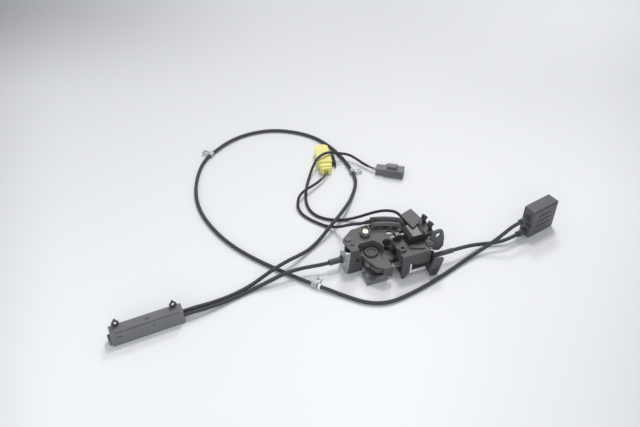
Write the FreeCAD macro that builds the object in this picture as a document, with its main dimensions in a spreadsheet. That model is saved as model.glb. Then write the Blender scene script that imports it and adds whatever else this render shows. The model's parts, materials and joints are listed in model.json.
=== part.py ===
import FreeCAD, Part
import math
import os

from FreeCAD import Placement, Rotation, Vector

# Hood latch with two release cables, a switch lead and a sensor lead.
# Millimetres. +Z is up from the table, +X runs along the latch to its mounting ears,
# +Y points away from the mounting faces. The origin is under the middle of the latch.

doc = FreeCAD.newDocument("hood_latch")
sheet = doc.addObject("Spreadsheet::Sheet", "sizes")

DIMENSIONS = [
    ("plate_thick", 2.5, "steel of the two frame plates and their walls"),
    ("case_lift", 6.0, "underside of the base plate above the table"),
    ("case_gap", 27.5, "clear height between the two frame plates"),
    ("half_length", 64.0, "half of the latch's length"),
    ("half_width", 41.0, "half of the latch's width"),
    ("slot_wide", 13.0, "width of the striker slot"),
    ("slot_place", -8.5, "middle of the striker slot along the latch"),
    ("bar_wide", 10.0, "striker bar that the catch takes"),
    ("bar_play", 1.5, "play of the bar in the catch's mouth"),
    ("claw_reach", 22.0, "catch pivot to the closed striker bar"),
    ("claw_thick", 6.0, "thickness of the catch and the pawl"),
    ("claw_outer", 28.0, "outer radius of the catch's two lips"),
    ("claw_hub", 10.5, "radius of the catch round its pivot"),
    ("claw_lift", 8.5, "catch above the base plate"),
    ("open_turn", 52.0, "swing of the catch from closed to open, degrees"),
    ("notch_angle", 105.0, "face of the catch's notch when closed, degrees"),
    ("notch_floor", 19.0, "radius of the notch floor"),
    ("cam_radius", 26.0, "radius of the cam that lifts the pawl"),
    ("cam_span", 35.0, "length of that cam, degrees"),
    ("pawl_reach", 34.0, "pawl pivot to the notch face"),
    ("pawl_hub", 6.5, "radius of the pawl and its release lever at the pivot"),
    ("pawl_drop", 11.0, "swing of the pawl from rest into the notch, degrees"),
    ("lever_thick", 2.5, "steel of the release lever and the safety lever"),
    ("release_lift", 1.5, "release lever above the base plate"),
    ("safety_lift", 4.8, "safety lever above the base plate"),
    ("safety_x", 16.0, "safety pivot along the latch"),
    ("safety_y", 16.0, "safety pivot across the latch"),
    ("rivet_radius", 5.0, "shank of the catch rivet"),
    ("side_rivet_radius", 3.5, "shank of the pawl rivet and the safety rivet"),
    ("rivet_head", 2.5, "height of the rivet heads"),
    ("run_clear", 0.05, "running clearance of a bore on its rivet"),
    ("side_clear", 0.3, "clearance between moving plates and their spacers"),
    ("spacer_wall", 3.0, "wall of the spacer sleeves"),
    ("left_wall_wide", 19.0, "width of the left mounting face"),
    ("wall_lean", 3.5, "how far the left face's outer edge leans in"),
    ("cover_drop", 11.0, "step from the cover down to the catch plate"),
    ("catch_head", 9.0, "radius of the catch rivet's flat head"),
    ("leg_wide", 11.0, "width of the leg beside the striker slot"),
    ("wall_window", 27.0, "height of the opening under the front wall"),
    ("ring_radius", 5.2, "round striker guide beside the slot"),
    ("ear_hole", 3.5, "radius of the holes in the mounting ears"),
    ("ear_wide", 20.0, "width of the upper ear"),
    ("ear_height", 44.0, "hole of the upper ear above the table"),
    ("ear_low_height", 10.0, "hole of the lower ear above the table"),
    ("ear_low_place", 40.0, "hole of the lower ear along the latch"),
    ("zinc_thick", 2.0, "zinc plated brackets"),
    ("cable_wide", 5.0, "diameter of the cable sheaths"),
    ("core_wide", 1.5, "diameter of the inner cable wires"),
    ("nipple_radius", 2.5, "barrel on the end of each inner wire"),
    ("left_cable_y", 15.0, "left cable across the latch"),
    ("right_cable_y", -24.0, "right cable across the latch"),
    ("ferrule_radius", 4.0, "body of the cable ferrules"),
    ("ferrule_neck", 2.9, "neck that sits in the bracket slot"),
    ("ferrule_long", 16.0, "ferrule outside its bracket, left side"),
    ("lead_wide", 4.0, "diameter of the two lead sheaths"),
    ("thread_wide", 1.6, "diameter of the single insulated wires"),
    ("switch_long", 27.0, "switch housing along the latch"),
    ("switch_deep", 22.0, "switch housing across the latch"),
    ("switch_high", 12.5, "switch housing above the cover plate"),
    ("switch_travel", 2.5, "travel of the switch plunger"),
    ("plunger_radius", 1.6, "switch plunger"),
    ("channel_wall", 1.3, "sheet of the lead channel"),
    ("channel_high", 6.0, "side walls of the lead channel"),
    ("coupler_long", 86.0, "cable coupler housing"),
    ("coupler_deep", 15.0, "cable coupler from front to back"),
    ("coupler_high", 20.0, "cable coupler height"),
    ("shell_wall", 2.2, "walls of the two moulded cable boxes"),
    ("junction_long", 47.0, "junction box length"),
    ("junction_high", 46.0, "junction box height as it stands"),
    ("junction_deep", 16.0, "junction box thickness"),
    ("black_long", 42.0, "black plug length"),
    ("black_wide", 17.0, "black plug width"),
    ("black_high", 13.0, "black plug height"),
    ("yellow_long", 58.0, "yellow plug length"),
    ("yellow_wide", 21.0, "yellow plug width"),
    ("yellow_high", 15.0, "yellow plug height"),
]


def fill_sheet():
    """One row for each driving dimension: its meaning, its value and its alias."""
    for number, (alias, value, meaning) in enumerate(DIMENSIONS, start=1):
        sheet.set("A%d" % number, meaning)
        sheet.set("B%d" % number, str(value))
        sheet.setAlias("B%d" % number, alias)
    doc.recompute()


fill_sheet()


def size(alias):
    return float(sheet.get(alias))


# Heights of the layers, from the table up.
plate = size("plate_thick")
base_low = size("case_lift")
base_top = base_low + plate
cover_low = base_top + size("case_gap")
cover_top = cover_low + plate
low_top = cover_top - size("cover_drop")
low_low = low_top - plate
release_low = base_top + size("release_lift")
release_top = release_low + size("lever_thick")
safety_low = base_top + size("safety_lift")
safety_top = safety_low + size("lever_thick")
claw_low = base_top + size("claw_lift")
claw_top = claw_low + size("claw_thick")
side = size("side_clear")

# Places of the pivots in plan.
slot_x = size("slot_place")
slot_half = size("slot_wide") / 2
slot_left = slot_x - slot_half
slot_right = slot_x + slot_half
catch_x = slot_x - size("claw_reach")
catch_y = 0.0
notch = math.radians(size("notch_angle"))
notch_grip = (size("notch_floor") + size("cam_radius")) / 2
tooth_x = catch_x + notch_grip * math.cos(notch)
tooth_y = catch_y + notch_grip * math.sin(notch)
pawl_x = tooth_x + size("pawl_reach") * math.sin(notch)
pawl_y = tooth_y - size("pawl_reach") * math.cos(notch)
safety_x = size("safety_x")
safety_y = size("safety_y")
shank = size("rivet_radius")
bore = shank + size("run_clear")
sleeve = bore + size("spacer_wall")
side_shank = size("side_rivet_radius")
side_bore = side_shank + size("run_clear")
side_sleeve = side_bore + size("spacer_wall") - 0.5

# Faces of the latch's outline in plan.
end_x = size("half_length")
back_y = size("half_width")
wall_back = -30.0
wall_front = wall_back - plate
ear_front = -17.0
left_edge = -end_x + size("zinc_thick") + 1.0
left_wall_end = left_edge + size("left_wall_wide")
step_x = left_edge + 14.0
right_edge = end_x - size("ear_wide")
wall_right = right_edge - 7.0
leg_end = slot_right + size("leg_wide")

view_turn = -21.0
right_tab = right_edge + 0.5

# The cables inside the latch.
wire = size("core_wide") / 2
nipple = size("nipple_radius")
cable = size("cable_wide") / 2
lead = size("lead_wide") / 2
left_wire_z = release_top + 1.5
right_wire_z = safety_top + 1.5
left_nipple = Vector(pawl_x, size("left_cable_y"), left_wire_z)
right_nipple = Vector(safety_x - 7.0, size("right_cable_y"), right_wire_z)


# Plane outlines

def rounded(corners):
    """A closed outline through (x, y, radius) corners, as lines and arcs."""
    count = len(corners)
    starts, ends, middles = [], [], []
    for index, (x, y, radius) in enumerate(corners):
        here = Vector(x, y, 0)
        before = Vector(*corners[index - 1][:2], 0) - here
        after = Vector(*corners[(index + 1) % count][:2], 0) - here
        before.normalize()
        after.normalize()
        half = before.getAngle(after) / 2
        cut = radius / math.tan(half) if radius else 0.0
        starts.append(here + before * cut)
        ends.append(here + after * cut)
        inward = (before + after)
        if radius:
            inward.normalize()
            middles.append(here + inward * (radius / math.sin(half) - radius))
        else:
            middles.append(None)
    pieces = []
    for index in range(count):
        if middles[index] is not None:
            pieces.append(Part.Arc(starts[index], middles[index], ends[index]))
        nearest = starts[(index + 1) % count]
        if (nearest - ends[index]).Length > 1e-6:
            pieces.append(Part.LineSegment(ends[index], nearest))
    return pieces


def circle(x, y, radius):
    return [Part.Circle(Vector(x, y, 0), Vector(0, 0, 1), radius)]


def box_loop(low_x, low_y, high_x, high_y, radius=0.0):
    return rounded([(low_x, low_y, radius), (high_x, low_y, radius),
                    (high_x, high_y, radius), (low_x, high_y, radius)])


def long_hole(x, y, radius, half_run, angle):
    """A slotted hole with round ends; the angle is the direction of its run."""
    turn = math.radians(angle)
    along = Vector(math.cos(turn), math.sin(turn), 0)
    across = Vector(-along.y, along.x, 0) * radius
    near = Vector(x, y, 0) - along * half_run
    far = Vector(x, y, 0) + along * half_run
    return [Part.LineSegment(near - across, far - across),
            Part.Arc(far - across, far + along * radius, far + across),
            Part.LineSegment(far + across, near + across),
            Part.Arc(near + across, near - along * radius, near - across)]


def polar(radius, angle):
    turn = math.radians(angle)
    return Vector(radius * math.cos(turn), radius * math.sin(turn), 0)


# Document objects

def new_body(label):
    body = doc.addObject("PartDesign::Body", label)
    body.Label = label
    return body


def plane(body, role):
    return [item for item in body.Origin.OriginFeatures if item.Role == role][0]


def add_sketch(body, role, loops, offset=0.0):
    """A sketch on one of the body's own planes, moved along that plane's normal."""
    sketch = body.newObject("Sketcher::SketchObject", body.Label + "_sketch")
    sketch.AttachmentSupport = [(plane(body, role), "")]
    sketch.MapMode = "FlatFace"
    sketch.AttachmentOffset = Placement(Vector(0, 0, offset), Rotation())
    for loop in loops:
        sketch.addGeometry(loop, False)
    return sketch


def pad(body, role, loops, offset, rule):
    """Pads the loops by a length that is an expression on the sheet."""
    sketch = add_sketch(body, role, loops, offset)
    feature = body.newObject("PartDesign::Pad", body.Label + "_pad")
    feature.Profile = sketch
    feature.setExpression("Length", rule)
    return feature


def plate_pad(body, loops, low, rule):
    return pad(body, "XY_Plane", loops, low, rule)


def wall_pad(body, loops, front, thick, rule):
    """A wall that faces -Y, from its front face back; loops are in X and Z."""
    return pad(body, "XZ_Plane", loops, -(front + thick), rule)


def end_pad(body, loops, low, rule):
    """A wall across X, from its low side; loops are in Y and Z."""
    return pad(body, "YZ_Plane", loops, low, rule)


def pocket(body, role, loops, offset, depth, reverse=False):
    sketch = add_sketch(body, role, loops, offset)
    feature = body.newObject("PartDesign::Pocket", body.Label + "_pocket")
    feature.Profile = sketch
    feature.Length = depth
    feature.Reversed = reverse
    return feature


def turned(body, profile):
    """A solid of revolution about Z; the profile is in radius and height."""
    corners = [(radius, height, rounding) for radius, height, rounding in profile]
    sketch = add_sketch(body, "XZ_Plane", [rounded(corners)])
    feature = body.newObject("PartDesign::Revolution", body.Label + "_turned")
    feature.Profile = sketch
    feature.ReferenceAxis = (sketch, ["V_Axis"])
    feature.Angle = 360
    return feature


def place(item, x, y, z=0.0, angle=0.0):
    item.Placement = Placement(Vector(x, y, z), Rotation(Vector(0, 0, 1), angle))


def add_shape(label, shape):
    item = doc.addObject("Part::Feature", label)
    item.Label = label
    item.Shape = shape
    return item


def tube(x, y, low, high, inner, outer):
    ring = Part.makeCylinder(outer, high - low, Vector(x, y, low))
    return ring.cut(Part.makeCylinder(inner, high - low, Vector(x, y, low)))


def rod(start, end, radius):
    run = end - start
    return Part.makeCylinder(radius, run.Length, start, run)


NODES = []


def keep(item):
    """Marks an object as a sub-part that is written to its own file."""
    NODES.append(item)
    return item


# Frame plates

def side_pivot_holes():
    return [circle(pawl_x, pawl_y, side_bore), circle(safety_x, safety_y, side_bore)]


post_radius = 2.8
POST_PLACES = [(left_edge + 7.5, 22.5), (right_edge - 8.0, 20.0)]
cover_back = back_y - 1.5
spring_place = Vector(left_edge + 32.3, cover_back - 15.7, 0)
ring_place = Vector(slot_right + 5.0, -19.5, 0)


def post_holes():
    return [circle(x, y, post_radius + size("run_clear")) for x, y in POST_PLACES]


def step_line():
    """Edge of the cover where it steps down to the catch plate, from the left."""
    head = size("catch_head")
    return [(step_x, 0.0, 0.0), (step_x, 6.0, 3.0), (catch_x - head - 2.5, head + 1.0, 3.0),
            (catch_x + head - 2.5, head + 1.0, 3.0), (catch_x + head + 2.5, 3.0, 3.0),
            (slot_left, -7.0, 0.5)]


def step_back():
    """The step's other face, one plate thickness behind, from the slot to the left."""
    head = size("catch_head")
    back = head + 1.0 + plate
    return [(slot_left, 1.0, 0.3), (slot_left - 1.7, 4.1, 1.0),
            (catch_x + head - 1.2, back, 3.0), (catch_x - head - 3.5, back, 3.0),
            (step_x - plate, 7.0, 2.0), (step_x - plate, 0.0, 0.0)]


def build_frame_plate():
    """Cover plate with the left mounting face, a rib and two inspection holes."""
    body = new_body("frame_plate")
    end_y = catch_y + slot_half
    outline = rounded([(left_edge + size("wall_lean"), 0.0, 0.5)] + step_line() + [
        (slot_left, end_y, slot_half * 0.98), (slot_right, end_y, slot_half * 0.98),
        (slot_right, wall_back, 0.8), (wall_right, wall_back, 0.5),
        (right_edge, wall_back + 4.0, 3.0), (right_edge, 28.0, 5.0),
        (right_edge - 16.0, cover_back - 3.5, 6.0), (right_edge - 36.0, cover_back, 6.0),
        (left_edge + 49.0, cover_back, 6.0), (left_edge + 18.0, cover_back - 1.5, 5.0),
        (left_edge, 24.0, 7.0)])
    first_hole = long_hole(slot_right + 3.0, 15.9, 2.6, 1.5, view_turn)
    second_hole = long_hole(safety_x - 6.2, 9.0, 2.1, 0.8, view_turn)
    plate_loops = [outline, first_hole, second_hole] + side_pivot_holes() + post_holes()
    plate_pad(body, plate_loops, cover_low, "sizes.plate_thick")
    face_left = step_x - plate
    left_face = rounded([
        (left_edge, 0.0, 1.5), (left_wall_end, 0.0, 1.5), (left_wall_end, low_low, 1.0),
        (face_left, low_low, 0.0), (face_left, cover_low, 0.0),
        (left_edge + size("wall_lean"), cover_low, 0.0)])
    small_hole = circle(left_edge + 12.4, cover_top * 0.52, 2.6)
    wall_pad(body, [left_face, small_hole], 0.0, plate, "sizes.plate_thick")
    rib = long_hole(slot_right + 24.5, wall_back + 7.8, 2.8, 7.0, view_turn)
    body.Tip = plate_pad(body, [rib], cover_top - 0.2, "sizes.plate_thick - 0.3")
    return keep(body)


def build_catch_plate():
    """Lower part of the cover, which holds the catch rivet; a step joins the two."""
    body = new_body("catch_plate")
    outline = rounded([
        (step_x - plate, 0.0, 0.0), (left_wall_end - 1.0, 0.0, 2.0),
        (catch_x - 10.0, -9.0, 4.0), (catch_x - 4.0, wall_back + 5.0, 4.0),
        (catch_x + 2.5, wall_back, 3.0), (slot_left, wall_back, 0.5)] + step_back()[:-1])
    plate_pad(body, [outline, circle(catch_x, catch_y, bore)], low_low, "sizes.plate_thick")
    step = rounded(step_line() + step_back())
    plate_pad(body, [step], low_low, "sizes.cover_drop")
    guide = rounded([(catch_x + 3.0, 17.0, 1.0), (slot_left, 10.0, 1.0), (slot_left, low_top, 0.5),
                     (catch_x + 3.0, low_top, 0.5)])
    body.Tip = wall_pad(body, [guide], wall_front, plate, "sizes.plate_thick")
    return keep(body)


def build_front_wall():
    """Front wall right of the slot, with the leg and a flange along the slot."""
    body = new_body("front_wall")
    window = size("wall_window")
    wall = rounded([(slot_right, 3.5, 0.5), (slot_right + 1.0, 0.0, 0.5),
                    (slot_right + 4.0, 0.0, 1.5), (leg_end, 9.0, 2.0),
                    (leg_end, window, 1.5), (leg_end + 7.0, window - 7.0, 2.0),
                    (wall_right, window - 10.0, 2.0), (wall_right, cover_top, 0.8),
                    (slot_right, cover_top, 0.8)])
    wall_pad(body, [wall], wall_front, plate, "sizes.plate_thick")
    flange = box_loop(wall_back, claw_top + 1.5, -13.0, cover_low, 0.0)
    body.Tip = end_pad(body, [flange], slot_right, "sizes.plate_thick")
    return keep(body)


def build_front_strip():
    """Plated strip on the base plate's front edge, turned up beside the leg."""
    body = new_body("front_strip")
    left = leg_end + 0.5
    right = size("ear_low_place") - 7.5
    outline = rounded([(left, base_low, 0.5), (right, base_low, 0.5),
                       (right, base_top + 1.2, 1.0), (left + 2.8, base_top + 1.2, 0.8),
                       (left + 2.8, size("wall_window") - 5.0, 1.0),
                       (left, size("wall_window") - 5.0, 1.0)])
    body.Tip = wall_pad(body, [outline], wall_back - 1.5, 1.5, "sizes.zinc_thick - 0.5")
    return keep(body)


def build_base_plate():
    """Lower plate with the lower mounting ear and the right cable's tab."""
    body = new_body("base_plate")
    ear_x = size("ear_low_place")
    tongue = 7.0
    ear_back = -back_y + plate
    bracket_back = wall_back + 5.5
    end_y = catch_y + slot_half
    outline = rounded([
        (left_edge + 1.0, 4.0, 1.0), (catch_x - 10.0, 4.0, 2.0), (catch_x - 9.0, -8.0, 4.0),
        (catch_x - 5.5, -20.0, 3.0), (catch_x + 0.5, bracket_back, 3.0),
        (slot_left, bracket_back, 0.8), (slot_left, end_y, slot_half * 0.98),
        (slot_right, end_y, slot_half * 0.98), (slot_right, wall_back, 0.8),
        (ear_x - tongue, wall_back, 0.5), (ear_x - tongue, ear_back, 0.0),
        (ear_x + tongue, ear_back, 0.0), (ear_x + tongue, 4.0, 3.0),
        (ear_x, 26.0, 6.0), (ear_x - 12.0, cover_back - 4.5, 6.0),
        (ear_x - 32.0, cover_back - 0.5, 6.0), (left_edge + 49.0, cover_back - 0.5, 6.0),
        (left_edge + 18.0, cover_back - 2.5, 5.0), (left_edge + 1.0, 24.0, 6.0)])
    catch_hole = circle(catch_x, catch_y, bore)
    loops = [outline, catch_hole] + side_pivot_holes() + post_holes()
    plate_pad(body, loops, base_low, "sizes.plate_thick")
    ear = rounded([(ear_x - 5.5, 0.0, 4.0), (ear_x + 4.0, 0.0, 4.0), (ear_x + 7.0, 7.0, 3.0),
                   (ear_x + 12.5, 27.0, 3.0), (ear_x - 2.0, 30.0, 2.0),
                   (ear_x - 7.0, 12.0, 4.0)])
    hole = circle(ear_x, size("ear_low_height"), size("ear_hole"))
    wall_pad(body, [ear, hole], -back_y, plate, "sizes.plate_thick")
    tab_y = size("right_cable_y")
    tab = rounded([(tab_y - 6.0, base_low, 0.0), (tab_y + 6.0, base_low, 0.0),
                   (tab_y + 6.0, right_wire_z + 7.0, 5.0), (tab_y - 6.0, right_wire_z + 7.0, 5.0)])
    tab_hole = circle(tab_y, right_wire_z, size("ferrule_neck") + 0.1)
    body.Tip = end_pad(body, [tab, tab_hole], right_tab, "sizes.plate_thick")
    return keep(body)


def build_ear_bracket():
    """Upper right mounting ear, with a foot that lies on the cover plate."""
    body = new_body("ear_bracket")
    right = end_x - 3.0
    left = right_edge
    hole_x = end_x - size("ear_wide") / 2
    hole_z = size("ear_height")
    top = hole_z + 9.0
    face = rounded([(left - 8.0, cover_top, 0.0), (left, cover_top, 0.0), (left, 27.0, 3.0),
                    (left + 6.0, 20.0, 3.0), (right - 3.0, 16.5, 3.0), (right + 3.0, 23.0, 4.0),
                    (right + 2.5, hole_z - 6.0, 12.0), (right - 1.0, top, 6.5),
                    (hole_x - 5.0, top, 6.0), (left - 2.0, cover_top + plate, 4.0),
                    (left - 8.0, cover_top + plate, 1.0)])
    hole = circle(hole_x, hole_z, size("ear_hole"))
    wall_pad(body, [face, hole], ear_front, plate, "sizes.plate_thick")
    foot = box_loop(left - 8.0, ear_front - 8.5, right_edge - 0.5, ear_front, 0.5)
    body.Tip = plate_pad(body, [foot], cover_top, "sizes.plate_thick")
    return keep(body)


def build_lower_bracket():
    """Bracket under the front left of the base plate, with a window and a lip."""
    body = new_body("lower_bracket")
    left = left_wall_end - 4.5
    right = slot_left - 3.5
    front = wall_back + 2.5
    back = -catch_clear()
    outline = box_loop(left, front, right, back, 1.5)
    window = box_loop(left + 1.8, front + 7.5, catch_x - 7.5, back - 2.0, 1.2)
    plate_pad(body, [outline, window], base_low - plate, "sizes.plate_thick")
    lip_top = base_top + 2.0
    lip = rounded([(left, 0.0, 1.0), (right, 0.0, 0.5), (right, lip_top, 0.8),
                   (left + 14.0, lip_top, 1.0), (left + 10.0, base_low - plate / 2, 1.5),
                   (left, base_low - plate / 2, 0.8)])
    body.Tip = wall_pad(body, [lip], front, plate, "sizes.plate_thick")
    return keep(body)


def catch_clear():
    """Edge of the catch rivet's lower head, with a millimetre to spare."""
    return shank + 2.0 + 1.0


# Catch, pawl and levers

def build_catch():
    """Forked catch: two lips round the striker bar, a notch and a cam."""
    body = new_body("catch")
    mouth = (size("bar_wide") + size("bar_play")) / 2
    reach = size("claw_reach")
    outer = size("claw_outer")
    hub = size("claw_hub")
    floor = size("notch_floor")
    cam = size("cam_radius")
    face_angle = size("notch_angle")
    cam_end = face_angle + size("cam_span")
    mouth_in = Vector(reach, mouth, 0)
    mouth_out = Vector(reach, -mouth, 0)
    low_tip = Vector(outer - 0.6, -mouth, 0)
    low_corner = polar(outer + 0.4, -16.0)
    low_heel = polar(outer - 1.5, -40.0)
    low_root = polar(hub, -75.0)
    hub_left = polar(hub, 180.0)
    cam_root = polar(hub + 1.5, cam_end + 8.0)
    cam_far = polar(cam, cam_end)
    cam_near = polar(cam, face_angle)
    floor_far = polar(floor, face_angle)
    floor_near = polar(floor, face_angle - 30.0)
    lip_root = polar(outer * 0.8, 60.0)
    lip_corner = polar(outer, 42.0)
    lip_tip = Vector(outer - 0.8, mouth, 0)
    outline = [
        Part.LineSegment(lip_tip, mouth_in),
        Part.Arc(mouth_in, Vector(reach - mouth, 0, 0), mouth_out),
        Part.LineSegment(mouth_out, low_tip),
        Part.Arc(low_tip, polar(outer + 0.1, -13.0), low_corner),
        Part.Arc(low_corner, polar(outer, -28.0), low_heel),
        Part.Arc(low_heel, polar(outer * 0.63, -62.0), low_root),
        Part.Arc(low_root, polar(hub, -128.0), hub_left),
        Part.Arc(hub_left, polar(hub + 0.1, 165.0), cam_root),
        Part.LineSegment(cam_root, cam_far),
        Part.Arc(cam_far, polar(cam, (cam_end + face_angle) / 2), cam_near),
        Part.LineSegment(cam_near, floor_far),
        Part.Arc(floor_far, polar(floor, face_angle - 15.0), floor_near),
        Part.LineSegment(floor_near, lip_root),
        Part.LineSegment(lip_root, lip_corner),
        Part.Arc(lip_corner, polar(outer, 25.0), lip_tip)]
    relief = polar((bore + floor) / 2 + 0.6, face_angle)
    relief_hole = long_hole(relief.x, relief.y, 2.2, 2.2, face_angle - 90.0)
    loops = [outline, circle(0, 0, bore), relief_hole]
    body.Tip = plate_pad(body, loops, 0.0, "sizes.claw_thick")
    place(body, catch_x, catch_y, claw_low, -size("open_turn"))
    body.setExpression("Placement.Rotation.Angle", "-1 * sizes.open_turn")
    return keep(body)


def build_pawl():
    """Hooked pawl with a sleeve that carries the release lever below it."""
    body = new_body("pawl")
    tip = size("pawl_reach") - 0.2
    hub = size("pawl_hub")
    depth = notch_grip - size("notch_floor") - 1.5
    outline = rounded([
        (tip, depth, 0.5), (tip, -5.5, 3.0), (tip - 3.5, -8.4, 3.0), (16.0, -8.0, 10.0),
        (0.0, -hub, hub * 0.7), (-hub, -hub, hub * 0.95), (-hub, hub, hub * 0.95),
        (5.0, hub, 4.0), (13.0, 3.0, 4.0), (20.0, -1.2, 3.0), (27.3, -3.7, 1.0),
        (tip - 5.3, depth - 0.8, 0.5)])
    plate_pad(body, [outline, circle(0, 0, side_bore)], 0.0, "sizes.claw_thick")
    sleeve_low = release_top - claw_low
    ring = [circle(0, 0, hub), circle(0, 0, side_bore)]
    body.Tip = plate_pad(body, ring, sleeve_low,
                         "sizes.claw_lift - sizes.release_lift - sizes.lever_thick")
    swing = 180.0 + size("notch_angle") - 90.0 - size("pawl_drop")
    place(body, pawl_x, pawl_y, claw_low, swing)
    body.setExpression("Placement.Rotation.Angle", "90 + sizes.notch_angle - sizes.pawl_drop")
    return keep(body)


def build_release_lever():
    """Lever under the pawl, riveted to its sleeve, with a slotted eye."""
    body = new_body("release_lever")
    hub = size("pawl_hub")
    eye_y = left_nipple.y - pawl_y
    eye = nipple + 4.0
    outline = rounded([
        (-hub, hub, hub * 0.95), (-hub, -4.0, 4.0), (-eye + 0.5, eye_y + 4.0, 3.0),
        (-eye + 0.5, eye_y - eye, eye * 0.8), (eye - 0.5, eye_y - eye, eye * 0.8),
        (eye - 0.5, eye_y + 4.0, 3.0), (hub, -4.0, 4.0), (hub, hub, hub * 0.95)])
    slot = long_hole(0.0, eye_y, nipple + 0.35, 0.7, 90.0)
    loops = [outline, circle(0, 0, side_bore), slot]
    body.Tip = plate_pad(body, loops, 0.0, "sizes.lever_thick")
    place(body, pawl_x, pawl_y, release_low)
    return keep(body)


def build_safety_lever():
    """Second catch: a hooked lever across the slot, pulled by the right cable."""
    body = new_body("safety_lever")
    eye_x = right_nipple.x - safety_x
    eye_y = right_nipple.y - safety_y
    eye = nipple + 2.3
    hub = 7.0
    hook_x = slot_left + 0.5 - safety_x
    outline = rounded([
        (-hub, hub, hub * 0.95), (hub, hub, hub * 0.95), (hub - 0.5, -8.0, 6.0),
        (eye_x + eye + 0.2, eye_y + 10.0, 6.0), (eye_x + eye, eye_y - eye, eye * 0.9),
        (eye_x - eye, eye_y - eye, eye * 0.9), (eye_x - eye, eye_y + 1.0, 1.5),
        (hook_x + 1.0, eye_y + 2.0, 2.0), (hook_x, eye_y + 11.0, 1.2),
        (hook_x + 3.5, eye_y + 11.0, 1.2), (hook_x + 4.5, eye_y + 8.0, 1.5),
        (eye_x - 4.0, eye_y + 9.0, 5.0), (-hub + 1.0, -12.0, 8.0)])
    slot = long_hole(eye_x, eye_y, nipple + 0.35, 1.0, 90.0)
    loops = [outline, circle(0, 0, side_bore), slot]
    body.Tip = plate_pad(body, loops, 0.0, "sizes.lever_thick")
    place(body, safety_x, safety_y, safety_low)
    return keep(body)


# Rivets, spacers, springs and buffer

def build_pivot_rivet(label, x, y, stem, top, head_radius, head_high, dish):
    body = new_body(label)
    low = base_low - size("rivet_head")
    rim = top + head_high
    profile = [(0.0, low, 0.0), (stem + 2.0, low, 1.0), (stem + 2.0, base_low, 0.0),
               (stem, base_low, 0.0), (stem, top, 0.0), (head_radius, top, 0.0),
               (head_radius, rim, 1.0), (head_radius * 0.55, rim, 0.5),
               (head_radius * 0.45, rim - dish, 0.5), (0.0, rim - dish, 0.0)]
    body.Tip = turned(body, profile)
    place(body, x, y)
    return keep(body)


def build_spacers(label, x, y, inner, outer, low_end, high_start, ceiling):
    """Sleeves on a pivot rivet, below and above what turns on it."""
    lower = tube(x, y, base_top, low_end - side, inner, outer)
    upper = tube(x, y, high_start + side, ceiling, inner, outer)
    return keep(add_shape(label, Part.makeCompound([lower, upper])))


def build_posts():
    """Two distance posts, riveted through both plates."""
    posts = []
    for x, y in POST_PLACES:
        post = Part.makeCylinder(post_radius, cover_top - base_low, Vector(x, y, base_low))
        collar = tube(x, y, base_top, cover_low, post_radius, post_radius + 1.2)
        head = Part.makeCylinder(post_radius + 1.2, 1.4, Vector(x, y, cover_top))
        foot = Part.makeCylinder(post_radius + 1.2, 1.4, Vector(x, y, base_low - 1.4))
        posts.append(post.fuse([collar, head, foot]).removeSplitter())
    return keep(add_shape("frame_posts", Part.makeCompound(posts)))


def build_spring(label, x, y, low, turns, coil_radius, wire_radius, pitch, leg, angle):
    """A torsion spring: a helix with a straight leg at each end."""
    helix = Part.makeHelix(pitch, pitch * turns, coil_radius)
    helix.rotate(Vector(0, 0, 0), Vector(0, 0, 1), angle)
    helix.translate(Vector(x, y, low + wire_radius))
    edge = helix.Edges[0]
    start = edge.valueAt(edge.FirstParameter)
    tangent = edge.tangentAt(edge.FirstParameter)
    profile = Part.Wire(Part.makeCircle(wire_radius, start, tangent))
    coil = Part.Wire(helix.Edges).makePipeShell([profile], True, True)
    first = rod(start - tangent * leg, start, wire_radius)
    finish = edge.valueAt(edge.LastParameter)
    away = edge.tangentAt(edge.LastParameter)
    last = rod(finish, finish + away * leg, wire_radius)
    return keep(add_shape(label, coil.fuse([first, last])))


def build_buffer():
    """Rubber buffer at the closed end of the striker slot."""
    body = new_body("striker_buffer")
    front = catch_y + slot_half + 0.4
    outline = rounded([(slot_left - 2.0, front, 1.0), (slot_right + 2.0, front, 1.0),
                       (slot_right + 2.0, front + 6.5, 2.5), (slot_left - 2.0, front + 6.5, 2.5)])
    low = claw_top + 2.0
    body.Tip = plate_pad(body, [outline], low,
                         "sizes.case_gap - sizes.claw_lift - sizes.claw_thick - 2")
    return keep(body)


def rivet_heads(places, low, radius, high):
    heads = []
    for x, y in places:
        head = Part.makeCylinder(radius, high, Vector(x, y, low))
        heads.append(head.makeFillet(high * 0.45, [head.Edges[0]]))
    return heads


def build_small_rivets():
    """Small heads on the cover and the ear's foot, and the ring beside the slot."""
    foot_y = ear_front - 4.0
    heads = rivet_heads([(left_edge + 9.5, 12.0)], cover_top, 2.4, 1.5)
    heads += rivet_heads([(right_edge - 4.0, foot_y)], cover_top + plate, 2.6, 1.5)
    radius = size("ring_radius")
    ring = Part.makeCylinder(radius, 3.2, Vector(ring_place.x, ring_place.y, cover_top))
    ring = ring.makeFillet(1.0, [ring.Edges[0]])
    well = Part.makeCylinder(radius * 0.52, 2.4,
                             Vector(ring_place.x, ring_place.y, cover_top + 0.8))
    heads.append(ring.cut(well))
    return keep(add_shape("small_rivets", Part.makeCompound(heads)))


def build_spring_rivet():
    """Plated rivet on the cover, inside the catch spring."""
    x, y = spring_place.x, spring_place.y
    stem = Part.makeCylinder(3.0, 4.0, Vector(x, y, cover_top))
    head = rivet_heads([(x, y)], cover_top + 3.6, 4.2, 1.8)[0]
    return keep(add_shape("spring_rivet", stem.fuse(head).removeSplitter()))


# Cable ends at the latch

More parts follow.
